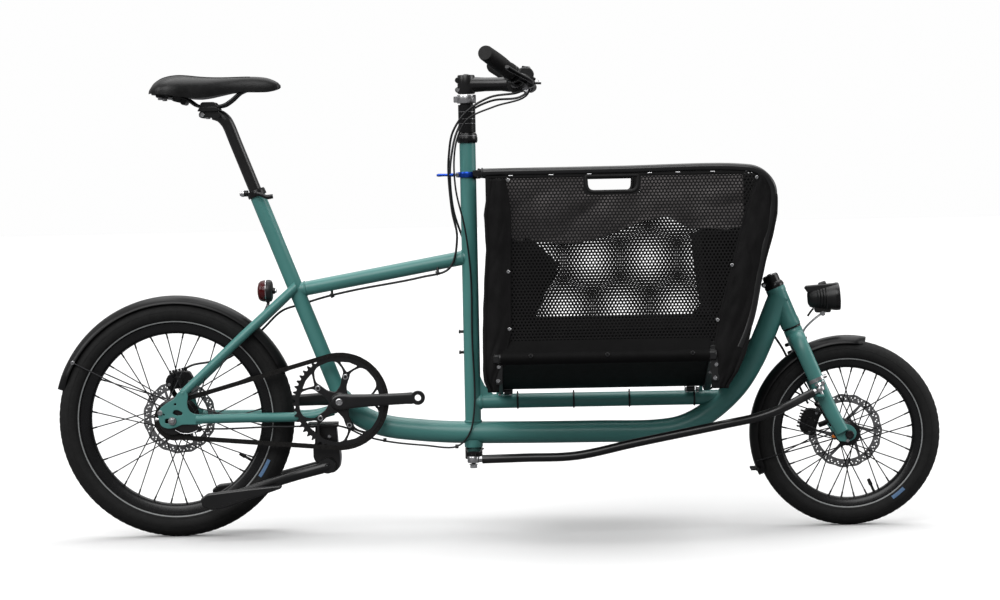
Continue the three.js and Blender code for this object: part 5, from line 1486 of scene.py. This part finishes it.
def wall(side, front):
    """Half of an end wall: from the strip on the panel's outer face, round its edge, across to the middle."""
    seed = 3.1 if front else 7.7  # both sides share it, so that the halves meet in the middle plane

    def place(v, u):
        top = 768 if u > 0.25 else 765
        outer = min(1.0, max(0.0, (u - 0.22) / 0.1))
        if front:
            zs, edge, inner = FRONT_OUT_Z[::-1], FRONT_EDGE[::-1], FRONT_IN[::-1]
        else:
            zs, edge, inner = EDGE_Z[::-1], REAR_EDGE[::-1], REAR_IN[::-1]
        bottom = 330 - 8 * (1 - outer)
        if u > 0.25:
            bottom = 330 - 26 * min(1.0, (u - 0.25) / 0.75)
        z = top - (top - bottom) * v
        xe, xi = float(np.interp(z, zs, edge)), float(np.interp(z, zs, inner))
        out = 1 if front else -1
        if u < STRIP_END:  # strip on the outer face
            t = u / STRIP_END
            x = xi + (xe - out * 5 - xi) * t
            lift = 2.2 + 3.0 * math.sin(math.pi * t) ** 2
            crease = 6.5 * abs(fold_noise(t * 2.2 + 0.6 * z / 60, z / 90, seed)) * math.sin(math.pi * t)
            crease += 3.0 * fold_noise(t * 4.0 - z / 65, z / 48, seed + 2) * math.sin(math.pi * t)
            y = 288.6 + lift + crease
            if z < 400:
                y -= 4 * (400 - z) / 70
        elif u < TURN_END:  # round the edge
            t = (u - STRIP_END) / 0.08
            a = math.pi * t
            wob = 1.2 * fold_noise(z / 30, 0.3, seed + 4)
            x = xe - out * 5 + out * (5.5 + wob) * math.sin(a)
            y = 286.5 + 6.0 * math.cos(a)
        else:  # across to the middle
            t = (u - TURN_END) / 0.72
            y = 280.5 * (1 - t)
            sag = 5.5 * math.sin(math.pi * t)
            deep = 7.0 * fold_noise(t * 2.6 + z / 260, z / 240, seed + 6)
            fine = 2.4 * fold_noise(t * 9.0 + z / 90, z / 85, seed + 8)
            pull = 3.0 * math.sin(6 * math.pi * t) * math.exp(-((768 - z) / 60) ** 2)
            tuck = 9.0 * math.exp(-((t - 0.10) / 0.05) ** 2) * (0.4 + 0.6 * v)
            base = xe - out * 5
            x = base - out * (sag * 0.6 + deep + fine + pull + tuck) * min(1.0, 6 * t)
        return P(x, side * y, z)

    shape = grid_sheet(*WALL_GRID, place)
    return shape, sheet_size(shape, *WALL_GRID)


for name, side in (("near", -1), ("far", 1)):
    panel, floor_body = f"basket_panel_{name}", f"basket_floor_{name}"
    y = side * 286
    perforated(f"panel_{name}_sheet", y, panel, 7.35 if side < 0 else 7.60,
                             2.38 if side < 0 else 2.12, 0 if side < 0 else 10)
    inner = [(703, 419), (1207, 419), (1228, 467), (1253, 588), (1279, 712), (1279, 738), (1271, 757), (1254, 768.5),
             (1235, 770.5), (703, 770.5)]
    frame_strip = slab([rounded(PANEL_OUT, 4, 3), rounded(inner, 5, 3)], y - 1.1, y + 1.1, 0.3)
    rim = 0 if side < 0 else 10
    slot_plate = slab([rounded([(896 - rim, 770), (897.5 - rim, 737 - rim), (907 - rim, 727 - rim),
                                (1006 + rim, 727 - rim),
                                (1015.5 + rim, 737 - rim), (1017 + rim, 770)], 8, 4), SLOT],
                      y - 1.1, y + 1.1, 0.3)
    rail_line = line((688, y, 779), (960, y, 779), (1215, y, 779), (1258, y, 771), (1284, y, 745), (1289, y, 713),
                     (1262, y, 585), (1237, y, 463), (1214, y, 407), per=10)
    seam_strip = slab([rounded([(700, 767), (1240, 767), (1240, 773), (700, 773)], 2)], y + side * 1.2 - 1.0,
                      y + side * 1.2 + 1.0, 0.4)
    turn_out = [(286 + 14.6 * math.cos(t), 392 + 14.6 * math.sin(t)) for t in np.radians(np.linspace(58, -82, 12))]
    outer_side = [(287.2, 428), (289.5, 421)] + turn_out
    turn_in = [(286 + 13.2 * math.cos(t), 392 + 13.2 * math.sin(t)) for t in np.radians(np.linspace(-82, 58, 12))]
    closed = outer_side + turn_in + [(288.0, 419), (286.0, 428)]
    m = len(closed)
    ends = [P(x, side * yy, zz) for x in (718, 1152) for yy, zz in closed]
    half_ = len(outer_side)
    cover_faces = [(k, (k + 1) % m, m + (k + 1) % m, m + k) for k in range(m)]
    for k in range(half_ - 1):
        cover_faces.append((k, k + 1, m - 2 - k, m - 1 - k))
        cover_faces.append((m + k, 2 * m - 1 - k, 2 * m - 2 - k, m + k + 1))
    flange = (ends, cover_faces)
    brackets = [slab([rounded([(x - 10, 412), (x + 10, 412), (x + 8, 338), (x - 8, 338)], 5)], y + side * 4.5 - 1.5,
                     y + side * 4.5 + 1.5, 0.8) for x in (713, 1163)]
    piece(f"panel_{name}_corner_plates", brackets, PLASTIC, panel)
    piece(f"panel_{name}_corner_bolts", [bolt(P(x, y + side * 6.0, z), Y * side, 0.0042, 0.0028)
                                         for x, z in ((714, 375), (712, 346), (1165, 372), (1162, 344))], CHROME,
          panel)
    piece(f"panel_{name}_frame", [frame_strip, slot_plate, seam_strip], PANEL, panel,
          (f"basket_panel_{name}",), angle=35)
    piece(f"panel_{name}_hinge_cover", [flange], DECK, panel, angle=35)
    piece(f"panel_{name}_rail",
          [sweep(rail_line, 0.0079, 26), rod(P(686, y, 779), P(690, y, 779), 0.0094, 26, bevel=0.001)], SATIN, panel,
          angle=60)
    hook = [slab([rounded([(678, 768), (700, 766), (716, 762), (716, 771), (700, 780), (678, 789)], 4)],
                 y - side * 12 - 3, y - side * 12 + 3, 0.8),
            rod(P(684, y - side * 16, 779), P(684, y + side * 2, 779), 0.0058, 20, bevel=0.001)]
    piece(f"panel_{name}_hook", hook, SATIN, panel)
    trim_line = [P(p[0], y, p[1]) for p in SLOT] + [P(SLOT[0][0], y, SLOT[0][1])]
    piece(f"panel_{name}_slot_trim", [sweep(trim_line, 0.0038, 16, cap=False)], RUBBER, panel, angle=60)
    rivets = [bolt(P(x, y + side * 7.0, z), Y * side, 0.0036, 0.0020) for x, z in
              ((741, 762), (738, 572), (738, 453), (1255, 757), (1201, 577), (1169, 464))]
    rivets += [bolt(P(x, y + side * 3.0, z), Y * side, 0.0020, 0.0012, False) for x, z in ((971, 415),)]
    piece(f"panel_{name}_rivets", rivets, CHROME, panel)
    hinge_screws = [bolt(P(x, y + side * 14.4, 397), Y * side, 0.0045, 0.0022) for x in (781, 940, 1116)]
    piece(f"panel_{name}_hinge_screws", hinge_screws, SATIN, panel)
    clips_ = [rod(P(x, y + side * 3.4, 771), P(x + 9, y + side * 3.4, 771), 0.0011, 8) for x in (742, 826, 905, 1030,
                                                                                                 1088, 1160, 1232)]
    piece(f"panel_{name}_rail_stitches", clips_, STEEL, panel)

    # floor half: sloping ribbed plate, hinge tube and end arms
    rise, run = 84, 272
    slope, length = math.atan2(rise, run), math.hypot(rise, run)
    turn = Matrix.Translation(P(MID, side * 14, 308)) @ Matrix.Rotation(side * slope, 4, "X")

    def on_floor(x, d, h):
        return turn @ Vector(((x - MID) / 1000, side * d / 1000, h / 1000))

    deck = []
    n_rib = 14
    profile = []
    for k in range(n_rib * 4 + 1):
        d = 12 + (length - 22) * k / (n_rib * 4)
        profile.append((d, 2.0 + (1.2 if k % 4 in (1, 2) else 0.0)))
    low_profile = [(d, -2.0) for d, h in reversed(profile)]
    closed = profile + low_profile
    verts = [on_floor(x, d, h) for x in (700, 1160) for d, h in closed]
    m = len(closed)
    faces = [(k, (k + 1) % m, m + (k + 1) % m, m + k) for k in range(m)]
    half_ = len(profile)
    for k in range(half_ - 1):
        faces.append((k, k + 1, m - 2 - k, m - 1 - k))
        faces.append((m + k, 2 * m - 1 - k, 2 * m - 2 - k, m + k + 1))
    deck.append((verts, faces))
    hinge = [rod(on_floor(703, length, 0), on_floor(1166, length, 0), 0.0126, 36, bevel=0.0015)]
    arms = []
    for x0, x1 in ((704, 716), (1150, 1164)):
        corners = [(2, -10), (2, 5), (length - 18, 6), (length + 8, 12), (length + 15, 2), (length + 10, -12),
                   (length - 16, -14), (40, -13)]
        va = [on_floor(x, d, h) for x in (x0, x1) for d, h in corners]
        q = len(corners)
        fa = [tuple(range(q)), tuple(reversed(range(q, 2 * q)))]
        fa += [(k, (k + 1) % q, q + (k + 1) % q, q + k) for k in range(q)]
        arms.append((va, fa))
    knuckles = [rod(on_floor(x, 0, -4), on_floor(x + 18, 0, -4), 0.0075, 24, bevel=0.001) for x in (717, 1113)]
    piece(f"floor_{name}_deck", deck, DECK, floor_body, f"basket_floor_{name}", angle=30)
    piece(f"floor_{name}_hinge", hinge + knuckles, SATIN, floor_body)
    piece(f"floor_{name}_arms", arms, PLASTIC, floor_body, bevel=0.0018)
    down = (on_floor(0, 0, -1) - on_floor(0, 0, 0)).normalized()
    screws = []
    for x in (710, 1157):
        for d in (length - 4, length - 96):
            screws.append(bolt(on_floor(x, d, -13.4), (down + Y * side * 0.4).normalized(), 0.0040, 0.0028))
    for x in (704, 728, 1110, 1134):
        screws.append(rod(on_floor(x, 0, -4), on_floor(x + 7, 0, -4), 0.0050, 16, bevel=0.0008))
        screws.append(bolt(on_floor(x + 3, 0.5, -9), down, 0.0036, 0.004))
    piece(f"floor_{name}_screws", screws, CHROME, floor_body)

    # cloth end walls
    for where, front in (("rear", False), ("front", True)):
        shape, (w, l, area) = wall(side, front)
        replaced = (f"basket_fabric_{name}",) if not front else ()
        obj = cloth_piece(f"basket_{where}_wall_{name}", shape, panel)
        if replaced:
            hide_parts(*replaced)
        min(area, w * l)
        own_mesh(obj)
        grid = np.array([tuple(p) for p in shape[0]]).reshape(*WALL_GRID, 3)
        hems = [sweep([Vector(p) for p in grid[2:-2, column]], radius, 8) for column,
                radius in ((1, 0.0010), (4, 0.0008))]
        piece(f"basket_{where}_hem_{name}", hems, CLOTH, panel, angle=80)
    # corner gussets seen through the holes
    left = [(694, 660), (742, 642), (782, 628), (842, 570), (828, 548), (814, 525), (797, 490), (783, 457),
            (694, 440)]
    right = [(1262, 665), (1200, 652), (1139, 639), (1143, 596), (1147, 552), (1153, 514), (1159, 477), (1142, 450),
             (1232, 440)]
    for tag, outline_ in (("rear", left), ("front", right)):
        rows, cols = 24, 30
        inner_pts = outline_[1:-1]

        def place(v, u, inner_pts=inner_pts, side=side, start=outline_[0], end=outline_[-1]):
            z_in = inner_pts[0][1] + (inner_pts[-1][1] - inner_pts[0][1]) * v
            x_in = float(np.interp(-z_in, [-p[1] for p in inner_pts], [p[0] for p in inner_pts]))
            z_out = start[1] + (end[1] - start[1]) * v
            x_out = start[0] + (end[0] - start[0]) * v
            x = x_out + (x_in - x_out) * u
            z = z_out + (z_in - z_out) * u
            bulge = 13.0 * u * (1 - 0.35 * u) + 3.0 * fold_noise(u * 3, v * 4, 5.0 + side) * u
            return P(x, side * (281 - bulge), z)

        shape = grid_sheet(rows, cols, place)
        w, l, area = sheet_size(shape, rows, cols)
        obj = cloth_piece(f"basket_{tag}_gusset_{name}", shape, panel)
        min(area, w * l)

for name, side in (("near", -1), ("far", 1)):
    panel = f"basket_panel_{name}"

    def skirt(v, u, side=side):
        x = 698 + (1226 - 698) * u
        z = 452 - 56 * v
        return P(x, side * (282.5 - 2.0 * v + 1.2 * fold_noise(u * 9, v * 2, 3.0 + side)), z)

    shape = grid_sheet(12, 70, skirt)
    w, l, area = sheet_size(shape, 12, 70)
    obj = cloth_piece(f"basket_skirt_{name}", shape, panel)
    min(area, w * l)


def top_band(v, u):
    """Cloth that hangs inside the far panel, from the rail to a curved lower edge."""
    x = 698 + (1262 - 698) * u
    low = float(np.interp(x, [698, 787, 878, 946, 1028, 1088, 1136, 1262], [626, 624, 617, 632, 664, 676, 648, 640]))
    z = 768 - (768 - low) * v
    sway = 16.0 * fold_noise(u * 3.2 + v * 1.5, v * 1.3 - u * 1.6, 9.0) + 3.0 * fold_noise(u * 9.0 + v * 3, v * 2.5,
                                                                                           2.0)
    return P(x, 279.5 - 6.0 * v - abs(sway) * min(1, 3 * v), z)


rows, cols = 40, 110
verts, faces = grid_sheet(rows, cols, top_band)
middles = [(sum((verts[i] for i in f), Vector()) / 4) for f in faces]
kept = [f for f, c in zip(faces, middles) if not (0.198 < c.x < 0.330 and c.z > 0.729)]
w, l, area = sheet_size((verts, faces), rows, cols)
obj = cloth_piece("basket_top_band_far", (verts, kept), "basket_panel_far")
# this lighter cloth colour is painted light on the black cloth that hangs inside the far panel
obj.data.materials[0] = CLOTH_PAINTED_LIT

# ---- floor, light and camera --------------------------------------------------------------------
n = Nodes("studio_floor")
n.link(n.ramp(n.noise(0.8, 3.0), [(0.3, (0.84, 0.84, 0.84)), (0.7, (0.88, 0.88, 0.88))]), "Base Color")
n.link(n.span(n.noise(6.0, 3.0), 0.55, 0.66), "Roughness")
bounce = n.add("BsdfDiffuse", Color=(0.16, 0.16, 0.165, 1))
rays = n.add("LightPath")
share = n.add("MixShader")
n.tree.links.new(rays.outputs["Is Camera Ray"], share.inputs[0])
n.tree.links.new(bounce.outputs[0], share.inputs[1])
n.tree.links.new(n.shader.outputs[0], share.inputs[2])
n.tree.links.new(share.outputs[0], n.tree.nodes["Material Output"].inputs[0])
bpy.ops.mesh.primitive_circle_add(vertices=96, radius=60, fill_type="NGON")
floor = bpy.context.object
floor.name = "studio_floor"
floor.data.materials.append(n.material)

world = bpy.data.worlds.new("studio")
bpy.context.scene.world = world
world.use_nodes = True
tree = world.node_tree
sky = tree.nodes["Background"]
seen = tree.nodes.new("ShaderNodeBackground")
mix = tree.nodes.new("ShaderNodeMixShader")
rays = tree.nodes.new("ShaderNodeLightPath")
place = tree.nodes.new("ShaderNodeTexCoord")
parts = tree.nodes.new("ShaderNodeSeparateXYZ")
up_share = tree.nodes.new("ShaderNodeMapRange")
back_share = tree.nodes.new("ShaderNodeMapRange")
for node, limits in ((up_share, (-0.05, 1.0, 0.07, 1.25)), (back_share, (-0.4, 0.7, 0.35, 1.0))):
    for key, value in zip(("From Min", "From Max", "To Min", "To Max"), limits):
        node.inputs[key].default_value = value
both = tree.nodes.new("ShaderNodeMath")
both.operation = "MULTIPLY"
tree.links.new(place.outputs["Generated"], parts.inputs[0])
tree.links.new(parts.outputs["Z"], up_share.inputs["Value"])
tree.links.new(parts.outputs["Y"], back_share.inputs["Value"])
tree.links.new(up_share.outputs[0], both.inputs[0])
tree.links.new(back_share.outputs[0], both.inputs[1])
tree.links.new(both.outputs[0], sky.inputs["Strength"])
sky.inputs["Color"].default_value = (1, 1, 1, 1)
seen.inputs["Color"].default_value = (1, 1, 1, 1)
seen.inputs["Strength"].default_value = 0.99
tree.links.new(rays.outputs["Is Camera Ray"], mix.inputs[0])
tree.links.new(sky.outputs[0], mix.inputs[1])
tree.links.new(seen.outputs[0], mix.inputs[2])
tree.links.new(mix.outputs[0], tree.nodes["World Output"].inputs[0])


def sun(name, toward, strength, spread):
    """A soft, even light that comes from one side of the sky."""
    data = bpy.data.lights.new(name, "SUN")
    data.energy = strength
    data.angle = math.radians(spread)
    lamp_ = bpy.data.objects.new(name, data)
    bpy.context.scene.collection.objects.link(lamp_)
    lamp_.rotation_euler = (-Vector(toward)).to_track_quat("-Z", "Y").to_euler()
    return lamp_


sun("top_light", (0.10, 0.22, 1.0), 1.7, 60)
sun("side_light", (1.0, -0.10, 0.35), 0.8, 30)
sun("left_light", (-0.9, -0.45, 0.55), 0.75, 30)
sun("front_light", (-0.25, -1.0, 0.80), 1.35, 40)

# the camera, with the angles and the place that were solved from the photo's two wheels
yaw, pitch, roll = math.atan2(75, 2800), math.atan2(104, 2800), -0.02068
ahead = Vector((-math.sin(yaw), math.cos(yaw), 0))
right = Vector((math.cos(yaw), math.sin(yaw), 0))
look = ahead * math.cos(pitch) - Z * math.sin(pitch)
lift = ahead * math.sin(pitch) + Z * math.cos(pitch)
side_ = right * math.cos(roll) + lift * math.sin(roll)
over = lift * math.cos(roll) - right * math.sin(roll)
camera = bpy.data.objects.new("camera", bpy.data.cameras.new("camera"))
bpy.context.scene.collection.objects.link(camera)
camera.data.lens = 100.8
camera.data.sensor_width = 36
camera.data.clip_end = 200
place_ = Matrix((side_, over, -look)).transposed().to_4x4()
place_.translation = P(874.9, -6088.9, 729.4)
camera.matrix_world = place_
bpy.context.scene.camera = camera
bpy.context.scene.view_settings.view_transform = "Standard"
bpy.context.scene.view_settings.look = "None"
